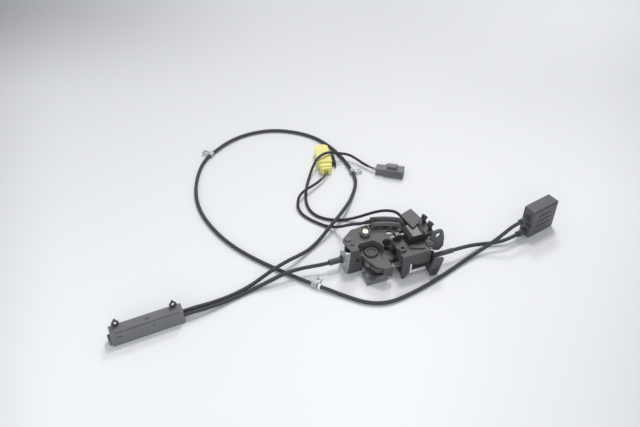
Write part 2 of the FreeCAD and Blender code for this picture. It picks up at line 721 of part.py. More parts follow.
def build_cable_bracket():
    """Zinc plated bracket that holds the left cable's ferrule."""
    body = new_body("cable_bracket")
    y = size("left_cable_y")
    zinc = size("zinc_thick")
    front = 0.5
    flange_top = cover_low - 0.5
    face = rounded([(front, 0.0, 1.0), (y + 7.0, 0.0, 2.0), (y + 7.0, left_wire_z + 9.0, 4.0),
                    (front + 4.0, flange_top, 2.0), (front, flange_top, 0.5)])
    hole = circle(y, left_wire_z, size("ferrule_neck") + 0.1)
    end_pad(body, [face, hole], -end_x, "sizes.zinc_thick")
    lean = size("wall_lean") / cover_low
    near = left_edge - 0.5
    flange = rounded([(-end_x, 5.0, 0.5), (near + 5.0 * lean, 5.0, 0.5),
                      (near + flange_top * lean, flange_top, 0.5), (-end_x, flange_top, 0.5)])
    wall_pad(body, [flange], front, zinc, "sizes.zinc_thick")
    foot = box_loop(-end_x + zinc, y - 7.0, -end_x + zinc + 13.0, y + 2.5, 1.0)
    body.Tip = plate_pad(body, [foot], base_low - zinc, "sizes.zinc_thick")
    return keep(body)


def stepped(axis_point, direction, steps, hole_radius, hole_long):
    """Cylinders one behind the other along a line, with one blind bore."""
    shapes = []
    start = Vector(axis_point)
    for radius, length in steps:
        shapes.append(Part.makeCylinder(radius, length, start, direction))
        start = start + direction * length
    body = shapes[0].fuse(shapes[1:]).removeSplitter()
    if hole_radius:
        body = body.cut(Part.makeCylinder(hole_radius, hole_long, axis_point, direction))
    return body, start


def build_left_ferrule():
    zinc = size("zinc_thick")
    neck = size("ferrule_neck")
    inner = Vector(-end_x + zinc + 2.6, left_nipple.y, left_wire_z)
    steps = [(neck, 1.0), (5.2, 1.5), (neck, zinc + 0.2), (5.2, 1.5),
             (size("ferrule_radius"), size("ferrule_long"))]
    body, end = stepped(inner, Vector(-1, 0, 0), steps, wire + 0.3, 15.0)
    return keep(add_shape("left_ferrule", body)), end


def build_right_ferrule():
    neck = size("ferrule_neck")
    inner = Vector(right_tab - 2.6, right_nipple.y, right_wire_z)
    steps = [(neck, 1.0), (4.7, 1.5), (neck, plate + 0.2), (4.7, 1.5),
             (size("ferrule_radius") - 0.7, size("ferrule_long") + 10.0)]
    body, end = stepped(inner, Vector(1, 0, 0), steps, wire + 0.3, 29.0)
    return keep(add_shape("right_ferrule", body)), end


def build_cable_wire(label, centre, direction, length, low, high):
    """Inner wire with a barrel on its end, which hangs in the lever's eye."""
    barrel = Part.makeCylinder(nipple, high - low, Vector(centre.x, centre.y, low))
    strand = rod(centre, centre + direction * length, wire)
    return keep(add_shape(label, barrel.fuse(strand).removeSplitter()))


# Switch, its bracket, lead channel and clip on the cover plate

switch_left = slot_right + 16.0
switch_front = -14.0
switch_mid_y = switch_front + size("switch_deep") - 7.0
plunger_z = cover_top + 5.5


def build_switch_housing():
    """Round backed switch housing on the cover plate."""
    body = new_body("switch_housing")
    long = size("switch_long")
    high = size("switch_high")
    profile = rounded([(switch_left, cover_top, 0.5), (switch_left + long, cover_top, 0.5),
                       (switch_left + long, cover_top + high, high * 0.75),
                       (switch_left, cover_top + high, high * 0.55)])
    wall_pad(body, [profile], switch_front, size("switch_deep"), "sizes.switch_deep")
    doc.recompute()
    hole = circle(switch_mid_y, plunger_z, size("plunger_radius") + 0.1)
    body.Tip = pocket(body, "YZ_Plane", [hole], switch_left, 9.0, True)
    return keep(body)


def build_plunger():
    """Plunger that the striker bar pushes in; it returns by its spring."""
    radius = size("plunger_radius")
    tip_x = slot_right - size("switch_travel")
    length = switch_left - tip_x + 5.0
    shape = Part.makeCylinder(radius, length, Vector(tip_x, switch_mid_y, plunger_z),
                              Vector(1, 0, 0))
    ends = [edge for edge in shape.Edges if edge.Closed and abs(edge.BoundBox.XMax - tip_x) < 1e-6]
    return keep(add_shape("switch_plunger", shape.makeFillet(radius * 0.8, ends)))


def build_switch_guide():
    """Short sleeve that guides the plunger beside the slot."""
    radius = size("plunger_radius")
    guide = Part.makeBox(8.0, 8.0, plunger_z + 4.0 - cover_top,
                         Vector(slot_right + 3.0, switch_mid_y - 4.0, cover_top))
    hole = Part.makeCylinder(radius + 0.1, 20.0, Vector(slot_right, switch_mid_y, plunger_z),
                             Vector(1, 0, 0))
    edges = [edge for edge in guide.Edges if edge.BoundBox.ZMin > plunger_z + 3.9]
    return keep(add_shape("plunger_guide", guide.makeFillet(1.5, edges).cut(hole)))


def build_switch_bracket():
    """Square tab over the switch and its lead, on a folded leg."""
    body = new_body("switch_bracket")
    tab_low = cover_top + size("switch_high") + side
    middle = switch_left + 18.5
    tab = rounded([(middle - 10.7, 26.9, 1.5), (middle - 7.3, -1.7, 1.5),
                   (middle + 11.4, 9.7, 1.5), (middle + 7.2, 33.2, 1.5)])
    plate_pad(body, [tab], tab_low, "sizes.zinc_thick")
    leg = box_loop(24.5, cover_top, 29.0, tab_low + 0.5, 0.0)
    body.Tip = end_pad(body, [leg], middle + 5.0, "sizes.zinc_thick")
    return keep(body)


def build_lead_channel():
    """Curved open channel along the back, which carries the sensor lead."""
    body = new_body("lead_channel")
    wall = size("channel_wall")
    outer = 86.0
    width = 10.5
    centre = Vector(-28.5, back_y - outer + 0.4, 0)
    low_angle, high_angle = 54.6, 81.2
    floor_z = cover_top + size("rivet_head") + 1.0

    def band(radius_in, radius_out, start, end):
        middle = (start + end) / 2
        ring = [centre + polar(radius, angle) for radius in (radius_in, radius_out)
                for angle in (start, middle, end)]
        return [Part.Arc(ring[0], ring[1], ring[2]), Part.LineSegment(ring[2], ring[5]),
                Part.Arc(ring[5], ring[4], ring[3]), Part.LineSegment(ring[3], ring[0])]

    inner = outer - width
    plate_pad(body, [band(inner, outer, low_angle, high_angle)], floor_z, "sizes.channel_wall")
    plate_pad(body, [band(inner, inner + wall, low_angle, high_angle)], floor_z,
              "sizes.channel_high")
    plate_pad(body, [band(outer - wall, outer, low_angle, high_angle)], floor_z,
              "sizes.channel_high + 1.5")
    for start in (61.5, high_angle - 2.5):
        foot = band(inner, outer - 4.2, start, start + 2.5)
        body.Tip = plate_pad(body, [foot], cover_top, "sizes.rivet_head + 1")
    return keep(body)


def build_panel_clip():
    """Plastic clip on the plate's right edge with two barbed prongs."""
    low = cover_low - 2.0
    high = cover_top + 1.8
    left = right_edge - 2.5
    block = Part.makeBox(13.5, 17.0, high - low, Vector(left, -6.0, low))
    grip = Part.makeBox(2.5, 19.0, plate, Vector(left, -7.0, cover_low))
    block = block.cut(grip)
    spread = Part.makeBox(11.0, 9.5, high - low, Vector(right_edge, 10.5, low))
    base = high - 0.5
    leaf = [(0.0, 0.0), (0.0, 5.0), (-2.4, 6.0), (-0.6, 13.5), (1.2, 13.5), (6.2, 8.0),
            (6.2, 7.0), (4.0, 5.0), (4.0, 0.0)]
    prongs = []
    for across, depth in ((5.5, 15.0), (6.8, 0.5)):
        points = [Vector(right_edge + across + x, depth, base + z) for x, z in leaf]
        face = Part.Face(Part.makePolygon(points + [points[0]]))
        prongs.append(face.extrude(Vector(0, 3.2, 0)))
    shape = block.fuse([spread] + prongs).removeSplitter()
    return keep(add_shape("panel_clip", shape))


boot_radius = 4.2
sensor_axis = Vector(-0.80, 0.45, -0.40).normalize()
sensor_ball_radius = 3.85
sensor_ball = Vector(-14.6, 35.0, cover_top + size("rivet_head") + 1.0
                     + size("channel_wall") + sensor_ball_radius)
sensor_boot_long = 9.0


def build_boot(label, start, direction, length):
    """Tapered rubber boot where a lead leaves its housing."""
    shape = Part.makeCone(boot_radius, lead + 0.6, length, start, direction)
    collar = Part.makeCylinder(boot_radius + 0.8, 2.0, start, direction)
    return keep(add_shape(label, shape.fuse(collar).removeSplitter()))


def build_sensor_boot():
    """Ball ended boot that sits in the open end of the lead channel."""
    ball = Part.makeSphere(sensor_ball_radius, sensor_ball)
    cone = Part.makeCone(sensor_ball_radius * 0.8, lead + 0.5, sensor_boot_long, sensor_ball,
                         sensor_axis)
    return keep(add_shape("sensor_boot", ball.fuse(cone).removeSplitter()))


# Cords

def path_of(points):
    """Straight runs through the points, joined by the largest tangent arcs."""
    nodes = [Vector(point) for point in points]
    edges = []
    radii = []
    start = nodes[0]
    for before, here, after in zip(nodes, nodes[1:], nodes[2:]):
        back = before - here
        ahead = after - here
        shorter = min(back.Length, ahead.Length)
        back.normalize()
        ahead.normalize()
        half_turn = (math.pi - back.getAngle(ahead)) / 2
        cut = 0.45 * shorter
        radius = cut / math.tan(half_turn)
        bisector = back + ahead
        bisector.normalize()
        middle = here + bisector * (radius / math.cos(half_turn) - radius)
        edges.append(Part.LineSegment(start, here + back * cut).toShape())
        edges.append(Part.Arc(here + back * cut, middle, here + ahead * cut).toShape())
        start = here + ahead * cut
        radii.append(radius)
    edges.append(Part.LineSegment(start, nodes[-1]).toShape())
    return Part.Wire(edges), radii


def cord_tube(points, radius):
    path, radii = path_of(points)
    first = path.Edges[0]
    direction = first.tangentAt(first.FirstParameter)
    profile = Part.Wire(Part.makeCircle(radius, Vector(points[0]), direction))
    shape = path.makePipeShell([profile], True, False)
    return shape, path.Length, radii


def build_cord(label, radius, start, start_run, route, end_run, end):
    """One cord, straight out of each end along its run; its bends are printed."""
    points = [start, start + start_run] + route + [end - end_run, end]
    shape, length, radii = cord_tube(points, radius)
    ratio = shape.Volume / (math.pi * radius ** 2 * length)
    print("%s: length %.1f mm, tightest arc %.1f mm, volume ratio %.4f, radii %s"
          % (label, length, min(radii), ratio, [round(value) for value in radii]))
    return keep(add_shape(label, shape))


# Boxes at the far ends of the cables

coupler_turn = 4.0
coupler_place = Vector(-273.5, 3.2, 0)
coupler_port_y = 3.0
coupler_port_z = 9.0
junction_turn = 12.5
junction_place = Vector(191.5, -25.0, 0)
junction_port_long = 14.0
junction_port_y = 7.5
upper_port_z = 30.0
lower_port_z = 8.5


def in_frame(origin, angle, x, y, z):
    turn = math.radians(angle)
    return Vector(origin.x + x * math.cos(turn) - y * math.sin(turn),
                  origin.y + x * math.sin(turn) + y * math.cos(turn), origin.z + z)


def stand(item, origin, angle):
    item.Placement = Placement(origin, Rotation(Vector(0, 0, 1), angle))
    return keep(item)


def shell_half(low, high, corner, open_up, wall):
    """Half of a moulded box: outer block with a pocket from its open side."""
    run = high - low
    outer = Part.makeBox(run.x, run.y, run.z, low)
    outer = outer.makeFillet(corner, [edge for edge in outer.Edges
                                      if abs(edge.BoundBox.ZLength - run.z) < 1e-6])
    inner_low = Vector(low.x + wall, low.y + wall, low.z + (wall if open_up else 0.0))
    inner = Part.makeBox(run.x - 2 * wall, run.y - 2 * wall, run.z - wall, inner_low)
    return outer.cut(inner)


def build_coupler():
    """Long moulded box in which two cables are joined by a sliding block."""
    long = size("coupler_long")
    deep = size("coupler_deep")
    high = size("coupler_high")
    wall = size("shell_wall")
    split = high * 0.55
    origin = coupler_place
    front = -deep / 2
    low = shell_half(Vector(-long, front, 0), Vector(0, deep / 2, split), 1.5, True, wall)
    top = shell_half(Vector(-long, front, split), Vector(0, deep / 2, high), 1.5, False, wall)
    for y in (-coupler_port_y, coupler_port_y):
        port = rod(Vector(-wall - 1, y, coupler_port_z), Vector(1, y, coupler_port_z),
                   wire + 0.4)
        low = low.cut(port)
    slot = Part.makeBox(5.0, 1.2, 3.0, Vector(-long + 7.0, front - 0.2, high * 0.62))
    dimple = rod(Vector(-long * 0.42, front - 1, high * 0.72),
                 Vector(-long * 0.42, front + 1.0, high * 0.72), 1.6)
    top = top.cut(slot).cut(dimple)
    rim = Part.makeBox(long - 10.0, 1.2, 1.6, Vector(-long + 5.0, front + 1.2, high))
    nub = Part.makeCylinder(1.8, 1.6, Vector(-long * 0.48, 1.5, high))
    top = top.fuse([rim, nub]).removeSplitter()
    stand(add_shape("coupler_base", low), origin, coupler_turn)
    stand(add_shape("coupler_cover", top), origin, coupler_turn)
    block_low = Vector(-long * 0.5, -3.4, wall + 0.3)
    block = Part.makeBox(16.0, 7.6, split - wall, block_low)
    block = block.makeFillet(1.0, [edge for edge in block.Edges
                                   if abs(edge.BoundBox.ZLength - (split - wall)) < 1e-6])
    stand(add_shape("coupler_slider", block), origin, coupler_turn)
    end = Part.makeBox(3.5, deep - 5.0, split - 2.0, Vector(-long - 3.5, front + 2.5, 1.0))
    end = end.makeFillet(1.2, [edge for edge in end.Edges
                               if edge.BoundBox.XMax < -long - 3.4])
    stand(add_shape("coupler_end_cap", end), origin, coupler_turn)
    clips = []
    for x in (-long + 9.0, -9.0):
        outer = [Vector(x - 2.0, 0, high), Vector(x - 4.6, 0, high + 4.0), Vector(x, 0, high + 11.0),
                 Vector(x + 4.6, 0, high + 4.0), Vector(x + 2.0, 0, high)]
        inner = [Vector(x - 0.9, 0, high + 1.6), Vector(x - 2.8, 0, high + 4.3),
                 Vector(x, 0, high + 8.4), Vector(x + 2.8, 0, high + 4.3),
                 Vector(x + 0.9, 0, high + 1.6)]
        ring = Part.Face(Part.makePolygon(outer + [outer[0]]))
        hole = Part.Face(Part.makePolygon(inner + [inner[0]]))
        clip = ring.cut(hole).extrude(Vector(0, 3.0, 0))
        clip.translate(Vector(0, deep / 2 - 4.0, 0))
        clips.append(clip)
    stand(add_shape("coupler_clips", Part.makeCompound(clips)), origin, coupler_turn)


def build_junction():
    """Flat moulded box on its edge, with two cable ports on its left end."""
    long = size("junction_long")
    high = size("junction_high")
    deep = size("junction_deep")
    wall = size("shell_wall")
    half = deep / 2

    def half_shell(front, back, open_back):
        body = Part.makeBox(long, back - front, high, Vector(0, front, 0))
        corners = [edge for edge in body.Edges if abs(edge.BoundBox.YLength - (back - front)) < 1e-6
                   and edge.BoundBox.ZLength < 1e-6 and edge.BoundBox.XLength < 1e-6]
        body = body.makeFillet(3.0, corners)
        start = front if not open_back else front + wall
        room = Part.makeBox(long - 2 * wall, back - front - wall, high - 2 * wall,
                            Vector(wall, start, wall))
        return body.cut(room)

    cover = half_shell(0.0, half, True)
    base = half_shell(half, deep, False)
    ribs = []
    for step in range(3):
        ribs.append(Part.makeBox(long * 0.5, 1.0, 1.4,
                                 Vector(long * 0.3, -0.8, high * (0.3 + 0.18 * step))))
    rim = Part.makeBox(long - 4.0, 0.9, 1.8, Vector(2.0, -0.8, high - 5.0))
    cover = cover.fuse(ribs + [rim]).removeSplitter()
    notch_box = Part.makeBox(2.5, half + 1, 9.0, Vector(-0.5, -0.5, high * 0.42))
    cover = cover.cut(notch_box.makeFillet(0.8, [notch_box.Edges[0]]))
    for height in (upper_port_z, lower_port_z):
        hole = rod(Vector(-1, junction_port_y, height), Vector(wall + 1, junction_port_y, height),
                   wire + 0.4)
        cover = cover.cut(hole)
        base = base.cut(hole)
    stand(add_shape("junction_cover", cover), junction_place, junction_turn)
    stand(add_shape("junction_base", base), junction_place, junction_turn)
    slider = Part.makeBox(8.0, deep - 2 * wall - 0.6, high * 0.62,
                          Vector(wall + 1.5, wall + 0.3, wall + 0.3))
    stand(add_shape("junction_slider", slider), junction_place, junction_turn)
    ports = []
    for height in (upper_port_z, lower_port_z):
        start = Vector(0, junction_port_y, height)
        steps = [(4.6, 3.0), (3.6, 2.0), (4.2, junction_port_long - 5.0)]
        ports.append(stepped(start, Vector(-1, 0, 0), steps, wire + 0.3, 10.0)[0])
    stand(add_shape("junction_ports", Part.makeCompound(ports)), junction_place, junction_turn)


# Plugs on the two leads

black_place = Vector(61.0, 182.5, 0)
black_turn = -35.0
yellow_place = Vector(-11.5, 203.0, 0)
yellow_turn = 78.0
thread_gap = 0.9
switch_end = Vector(53.0, 193.0, 6.0)
switch_end_turn = -60.0
sensor_end = Vector(-26.5, 186.5, 7.5)
sensor_end_turn = 33.0


def thread_entry(y, height):
    """Blind hole in a plug's rear face for one single wire."""
    return rod(Vector(-1, y, height), Vector(2.5, y, height), size("thread_wide") / 2 + 0.02)


def build_black_plug():
    """Two-way plug; the lead enters at its narrow rear end."""
    long = size("black_long")
    wide = size("black_wide")
    high = size("black_high")
    rear = Part.makeBox(13.0, wide - 4.0, high - 2.5, Vector(0, -wide / 2 + 2.0, 0.6))
    front = Part.makeBox(long - 13.0, wide, high, Vector(13.0, -wide / 2, 0))
    edges = [edge for edge in front.Edges if edge.BoundBox.XLength > 1]
    front = front.makeFillet(1.8, edges)
    ridge = Part.makeBox(long - 17.0, 1.4, 1.2, Vector(15.0, -wide / 2 - 1.0, high * 0.55))
    low_ridge = Part.makeBox(long - 17.0, 1.4, 1.2, Vector(15.0, wide / 2 - 0.4, high * 0.55))
    body = rear.fuse([front, ridge, low_ridge]).removeSplitter()
    for y in (-3.6, 3.6):
        terminal = Part.makeBox(6.0, 2.4, 3.0, Vector(long - 6.0, y - 1.2, high * 0.42))
        body = body.cut(terminal)
        body = body.cut(thread_entry(math.copysign(2 * thread_gap, y), switch_end.z))
    stand(add_shape("black_plug", body), black_place, black_turn)
    lock = Part.makeBox(15.0, 9.0, 4.6, Vector(17.0, -4.5, high))
    lock = lock.makeFillet(1.2, [edge for edge in lock.Edges if edge.BoundBox.ZMin > high + 4])
    gap = Part.makeBox(17.0, 6.0, 1.6, Vector(16.0, -3.0, high))
    stand(add_shape("black_plug_lock", lock.cut(gap)), black_place, black_turn)


def build_yellow_plug():
    """Long rounded plug with a two-lobed collar and a black mounting clip."""
    long = size("yellow_long")
    wide = size("yellow_wide")
    high = size("yellow_high")
    body = Part.makeBox(long - 14.0, wide, high, Vector(14.0, -wide / 2, 0))
    far = [edge for edge in body.Edges if edge.BoundBox.XMin > long - 0.1
           and edge.BoundBox.ZLength > 1]
    body = body.makeFillet(7.0, far)
    neck = Part.makeBox(14.5, wide - 6.0, high - 4.0, Vector(0, -wide / 2 + 3.0, 1.5))
    body = body.fuse(neck).removeSplitter()
    for y in (-2 * thread_gap, 2 * thread_gap):
        body = body.cut(thread_entry(y, sensor_end.z))
    stand(add_shape("yellow_plug", body), yellow_place, yellow_turn)
    lobes = []
    for y in (-wide / 2 + 1.5, wide / 2 - 1.5 - 3.5):
        lobe = Part.makeBox(6.0, 3.5, high - 3.0, Vector(4.0, y, 1.5))
        lobes.append(lobe)
    collar = Part.makeBox(6.0, wide - 6.0, 2.2, Vector(4.0, -wide / 2 + 3.0, high - 2.5))
    pair = lobes[0].fuse([lobes[1], collar]).removeSplitter()
    neck_room = Part.makeBox(14.5, wide - 6.0, high - 4.0, Vector(0, -wide / 2 + 3.0, 1.5))
    stand(add_shape("yellow_plug_collar", pair.cut(neck_room)), yellow_place, yellow_turn)
    clip = Part.makeBox(22.0, 7.0, 6.0, Vector(20.0, -wide / 2 - 7.0, 2.0))
    wing = Part.makeBox(30.0, 1.6, 9.0, Vector(15.0, -wide / 2 - 7.0, 1.0))
    stand(add_shape("yellow_plug_clip", clip.fuse(wing).removeSplitter()), yellow_place,
          yellow_turn)


def build_threads(label, start, end, angle_start, angle_end):
    """Two single wires from the end of a lead's sheath into its plug."""
    radius = size("thread_wide") / 2
    wires = []
    for sign in (-1, 1):
        first = start + polar(thread_gap * sign, angle_start + 90.0)
        last = end + polar(2 * thread_gap * sign, angle_end + 90.0)
        knee = first + polar(6.0, angle_start)
        heel = last - polar(6.0, angle_end)
        shape = cord_tube([first, knee, heel, last], radius)[0]
        wires.append(shape)
    return keep(add_shape(label, Part.makeCompound(wires)))


def build_cable_clips():
    """Three plated clips pressed round the long cable, each with a flat lug."""
    clips = []
    for first, last, hand in CLIP_RUNS:
        start = Vector(*first)
        end = Vector(*last)
        middle = (start + end) * 0.5
        run = (end - start).normalize()
        across = Vector(-run.y, run.x, 0) * hand
        ring = rod(middle - run * 4.0, middle + run * 4.0, cable + 1.3)
        ring = ring.cut(rod(middle - run * 5.0, middle + run * 5.0, cable + 0.05))
        lug = Part.makeBox(8.0, 12.0, 1.4, Vector(-4.0, cable + 0.6, -0.7))
        lug = lug.cut(Part.makeCylinder(2.2, 3.0, Vector(0, cable + 7.6, -1.5)))
        turn = math.degrees(math.atan2(across.y, across.x)) - 90.0
        lug.Placement = Placement(middle, Rotation(Vector(0, 0, 1), turn))
        clips.append(ring.fuse(lug).removeSplitter())
    keep(add_shape("cable_clips", Part.makeCompound(clips)))


# Routes of the cords, point by point.

left_route_end = in_frame(coupler_place, coupler_turn, 0, -coupler_port_y, coupler_port_z)
loop_route_start = in_frame(coupler_place, coupler_turn, 0, coupler_port_y, coupler_port_z)
upper_port = in_frame(junction_place, junction_turn, -junction_port_long, junction_port_y,
                      upper_port_z)
lower_port = in_frame(junction_place, junction_turn, -junction_port_long, junction_port_y,
                      lower_port_z)

LEFT_CABLE = [(-102, 18, 12.5), (-122, 20, 12.5), (-142, 18.5, 12.5), (-161, 17.5, 7.5),
              (-182, 16, 3), (-208, 10.5, 3), (-236, 4, 6)]

LOOP_CABLE = [(-238, 10, 5.5), (-211, 15, 3), (-186, 21, 4), (-167, 26, 9),
              (-152, 30.5, 12.5), (-130, 38.5, 12.5), (-111, 47, 8), (-92, 57.5, 3.2),
              (-72, 69, 6), (-55, 80, 12.5), (-36, 94.5, 13), (-18, 111.5, 12),
              (-4, 128.5, 6.5), (9, 147, 3.2), (19.5, 163, 4), (25, 180, 4),
              (26.4, 204, 4), (25.5, 232, 3.2), (20, 263, 3), (7, 296, 3), (-17, 323, 3),
              (-54, 344, 3), (-96, 346, 3), (-128, 334.5, 4), (-150, 320, 4),
              (-174.5, 301.5, 4), (-193, 270, 3), (-206.5, 230, 3), (-210.5, 187, 3),
              (-203, 144, 3), (-188, 103, 3), (-166, 66.5, 3), (-139, 31.5, 3),
              (-120, 7, 4), (-98, -17, 4), (-79, -37, 3), (-59, -56.5, 3), (-34, -65.5, 3),
              (-2, -61.5, 3), (35, -52.5, 3), (72, -40, 3), (100, -31, 4), (120, -27.5, 8),
              (138, -27, 17), (152, -26, 25.5)]

RIGHT_CABLE = [(100, -21.5, 14), (116, -18, 8), (133, -17.5, 3.5), (149, -22.3, 5.5)]

SWITCH_LEAD = [(25, 45, 42.5), (20.5, 58, 36), (13.5, 70, 27.5), (4.5, 80.5, 17.5),
               (-8, 89, 8), (-22, 95, 2.6), (-37, 100, 2.2), (-51, 108, 2.2), (-61, 120, 2.2),
               (-65, 135.5, 2.2), (-63, 152, 2.2), (-57.5, 169, 2.2), (-49, 187, 2.2),
               (-39, 202.5, 5), (-29, 214.5, 13), (-16.5, 224.5, 20.5), (2, 231, 20.5),
               (18, 231.5, 13.5), (33.5, 225.5, 11.5), (43, 214, 7.5)]

SENSOR_LEAD = [(-35, 49.5, 36), (-37.5, 60, 26.5), (-41, 71, 16), (-46, 82, 7),
               (-54, 92, 2.6), (-63, 103, 2.2), (-72, 116, 2.2),
               (-78, 130, 2.2), (-78.5, 144.5, 3.5), (-73, 157, 9.5), (-61, 167, 10.5),
               (-47.5, 174, 9)]

CLIP_RUNS = [(LOOP_CABLE[15], LOOP_CABLE[16], -1), (LOOP_CABLE[24], LOOP_CABLE[25], -1),
             (LOOP_CABLE[33], LOOP_CABLE[34], 1)]


def build_cable_ring():
    """White marker ring on the long cable, beside the third clip."""
    start = Vector(*CLIP_RUNS[2][0])
    end = Vector(*CLIP_RUNS[2][1])
    run = (end - start).normalize()
    middle = (start + end) * 0.5 + run * 7.0
    ring = rod(middle - run * 1.6, middle + run * 1.6, cable + 1.2)
    ring = ring.cut(rod(middle - run * 3.0, middle + run * 3.0, cable + 0.05))
    return keep(add_shape("cable_ring", ring))


def build_latch():
    build_frame_plate()
    build_catch_plate()
    build_front_wall()
    build_front_strip()
    build_base_plate()
    build_ear_bracket()
    build_lower_bracket()
    build_catch()
    build_pawl()
    build_release_lever()
    build_safety_lever()
    head_high = size("rivet_head")
    build_pivot_rivet("catch_rivet", catch_x, catch_y, shank, low_top, size("catch_head"),
                      head_high + 0.5, 1.0)
    build_pivot_rivet("pawl_rivet", pawl_x, pawl_y, side_shank, cover_top, side_shank + 2.5,
                      head_high, 0.6)
    build_pivot_rivet("safety_rivet", safety_x, safety_y, side_shank, cover_top,
                      side_shank + 2.0, head_high, 0.6)
    build_spacers("catch_spacers", catch_x, catch_y, bore, sleeve, claw_low, claw_top, low_low)
    build_spacers("pawl_spacers", pawl_x, pawl_y, side_bore, side_sleeve, release_low, claw_top,
                  cover_low)
    build_spacers("safety_spacers", safety_x, safety_y, side_bore, side_sleeve, safety_low,
                  safety_top, cover_low)
    build_posts()
    build_spring("catch_spring", spring_place.x, spring_place.y, cover_top + 0.5, 2.5, 6.0, 0.7,
                 2.0, 7.0, 180.0)
    build_spring("pawl_spring", pawl_x, pawl_y, claw_top + 1.0, 2.5, side_sleeve + 0.8, 0.7, 2.0,
                 7.0, 180.0)
    build_spring("safety_spring", safety_x, safety_y, safety_top + 1.0, 2.5, side_sleeve + 0.8,
                 0.7, 2.0, 7.0, 200.0)
    build_buffer()
    build_small_rivets()
    build_spring_rivet()
    build_cable_bracket()
    build_switch_housing()
    build_plunger()
    build_switch_guide()
    build_switch_bracket()
    build_lead_channel()
    build_panel_clip()


def build_cables():
    left_end = build_left_ferrule()[1]
    right_end = build_right_ferrule()[1]
    build_cable_wire("left_wire", left_nipple, Vector(-1, 0, 0), 68.0, release_low + 0.2,
                     left_wire_z + wire + 0.4)
    build_cable_wire("right_wire", right_nipple, Vector(1, 0, 0), 42.0, safety_low + 0.2,
                     right_wire_z + wire + 0.4)
    coupler_out = polar(14.0, coupler_turn)
    into_junction = polar(12.5, junction_turn)
    build_cord("left_cable", cable, left_end, Vector(-9, 0, 0), LEFT_CABLE, -coupler_out,
               left_route_end)
    build_cord("loop_cable", cable, loop_route_start, coupler_out, LOOP_CABLE, into_junction,
               upper_port)
    build_cord("right_cable", cable, right_end, Vector(9, 0, 0), RIGHT_CABLE, into_junction,
               lower_port)
    build_coupler()
    build_junction()
    build_cable_clips()
    build_cable_ring()


def build_leads():
    """The two leads, from their boots on the latch to their plugs."""
    boot_long = 14.0
    switch_exit = Vector(26.0, switch_front + size("switch_deep"), cover_top + 6.5)
    build_boot("switch_boot", switch_exit, Vector(0, 1, 0), boot_long)
    build_cord("switch_lead", lead, switch_exit + Vector(0, boot_long, 0), Vector(0, 10, 0),
               SWITCH_LEAD, polar(9.0, switch_end_turn), switch_end)
    build_sensor_boot()
    build_cord("sensor_lead", lead, sensor_ball + sensor_axis * sensor_boot_long,
               sensor_axis * 7.0, SENSOR_LEAD, polar(10.0, sensor_end_turn), sensor_end)
    build_black_plug()
    build_yellow_plug()
    black_entry = in_frame(black_place, black_turn, 1.5, 0, switch_end.z)
    yellow_entry = in_frame(yellow_place, yellow_turn, 1.5, 0, sensor_end.z)
    build_threads("switch_threads", switch_end, black_entry, switch_end_turn, black_turn)
    build_threads("sensor_threads", sensor_end, yellow_entry, sensor_end_turn, yellow_turn)


def check_document():
    """Stops if any object failed or any sub-part is not a sound solid."""
    for item in doc.Objects:
        if "Invalid" in item.State or "Error" in item.State:
            raise RuntimeError("failed object: " + item.Label + " " + str(item.State))
    for item in NODES:
        if item.Shape.isNull() or not item.Shape.isValid() or not item.Shape.Solids:
            raise RuntimeError("unsound sub-part: " + item.Label)


def write_parts():
    os.makedirs("parts", exist_ok=True)
    for item in NODES:
        item.Shape.exportStep(os.path.join("parts", item.Label + ".step"))


build_latch()
build_cables()
build_leads()
doc.recompute()
check_document()
write_parts()
print("sub-parts:", len(NODES))
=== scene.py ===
"""Looks of the hood latch: materials, cords, table, lights and camera."""

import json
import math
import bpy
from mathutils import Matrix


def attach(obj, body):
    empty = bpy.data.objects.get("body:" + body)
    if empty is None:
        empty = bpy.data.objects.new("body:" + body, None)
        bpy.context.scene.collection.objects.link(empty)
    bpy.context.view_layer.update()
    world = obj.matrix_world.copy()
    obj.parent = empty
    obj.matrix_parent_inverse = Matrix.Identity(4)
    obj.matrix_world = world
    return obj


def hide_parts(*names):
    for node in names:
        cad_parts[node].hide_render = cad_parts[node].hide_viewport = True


bl_info = {
    "name": "Hood latch scene",
    "version": (1, 0, 0),
    "blender": (4, 5, 0),
    "location": "3D View > Sidebar > Hood latch",
    "description": "Dresses the hood latch, lays its cables and sets up the table and camera",
    "category": "Object",
}

import bpy
from mathutils import Vector

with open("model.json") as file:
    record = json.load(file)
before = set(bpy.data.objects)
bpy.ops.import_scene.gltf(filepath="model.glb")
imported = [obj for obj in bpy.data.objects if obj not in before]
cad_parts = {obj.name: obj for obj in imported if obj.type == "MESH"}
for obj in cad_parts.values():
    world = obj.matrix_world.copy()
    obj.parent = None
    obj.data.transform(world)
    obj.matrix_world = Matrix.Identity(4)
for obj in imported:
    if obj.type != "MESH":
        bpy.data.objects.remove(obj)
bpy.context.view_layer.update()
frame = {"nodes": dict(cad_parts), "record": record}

MM = 0.001

# Routes of the cords, in metres, in the part's frame.

LEFT_ROUTE = (
    (-0.0816, 0.0150, 0.0140), (-0.0906, 0.0150, 0.0140), (-0.1020, 0.0180, 0.0125),
    (-0.1220, 0.0200, 0.0125), (-0.1420, 0.0185, 0.0125), (-0.1610, 0.0175, 0.0075),
    (-0.1820, 0.0160, 0.0030), (-0.2080, 0.0105, 0.0030), (-0.2360, 0.0040, 0.0060),
    (-0.2593, 0.0012, 0.0090), (-0.2733, 0.0002, 0.0090))

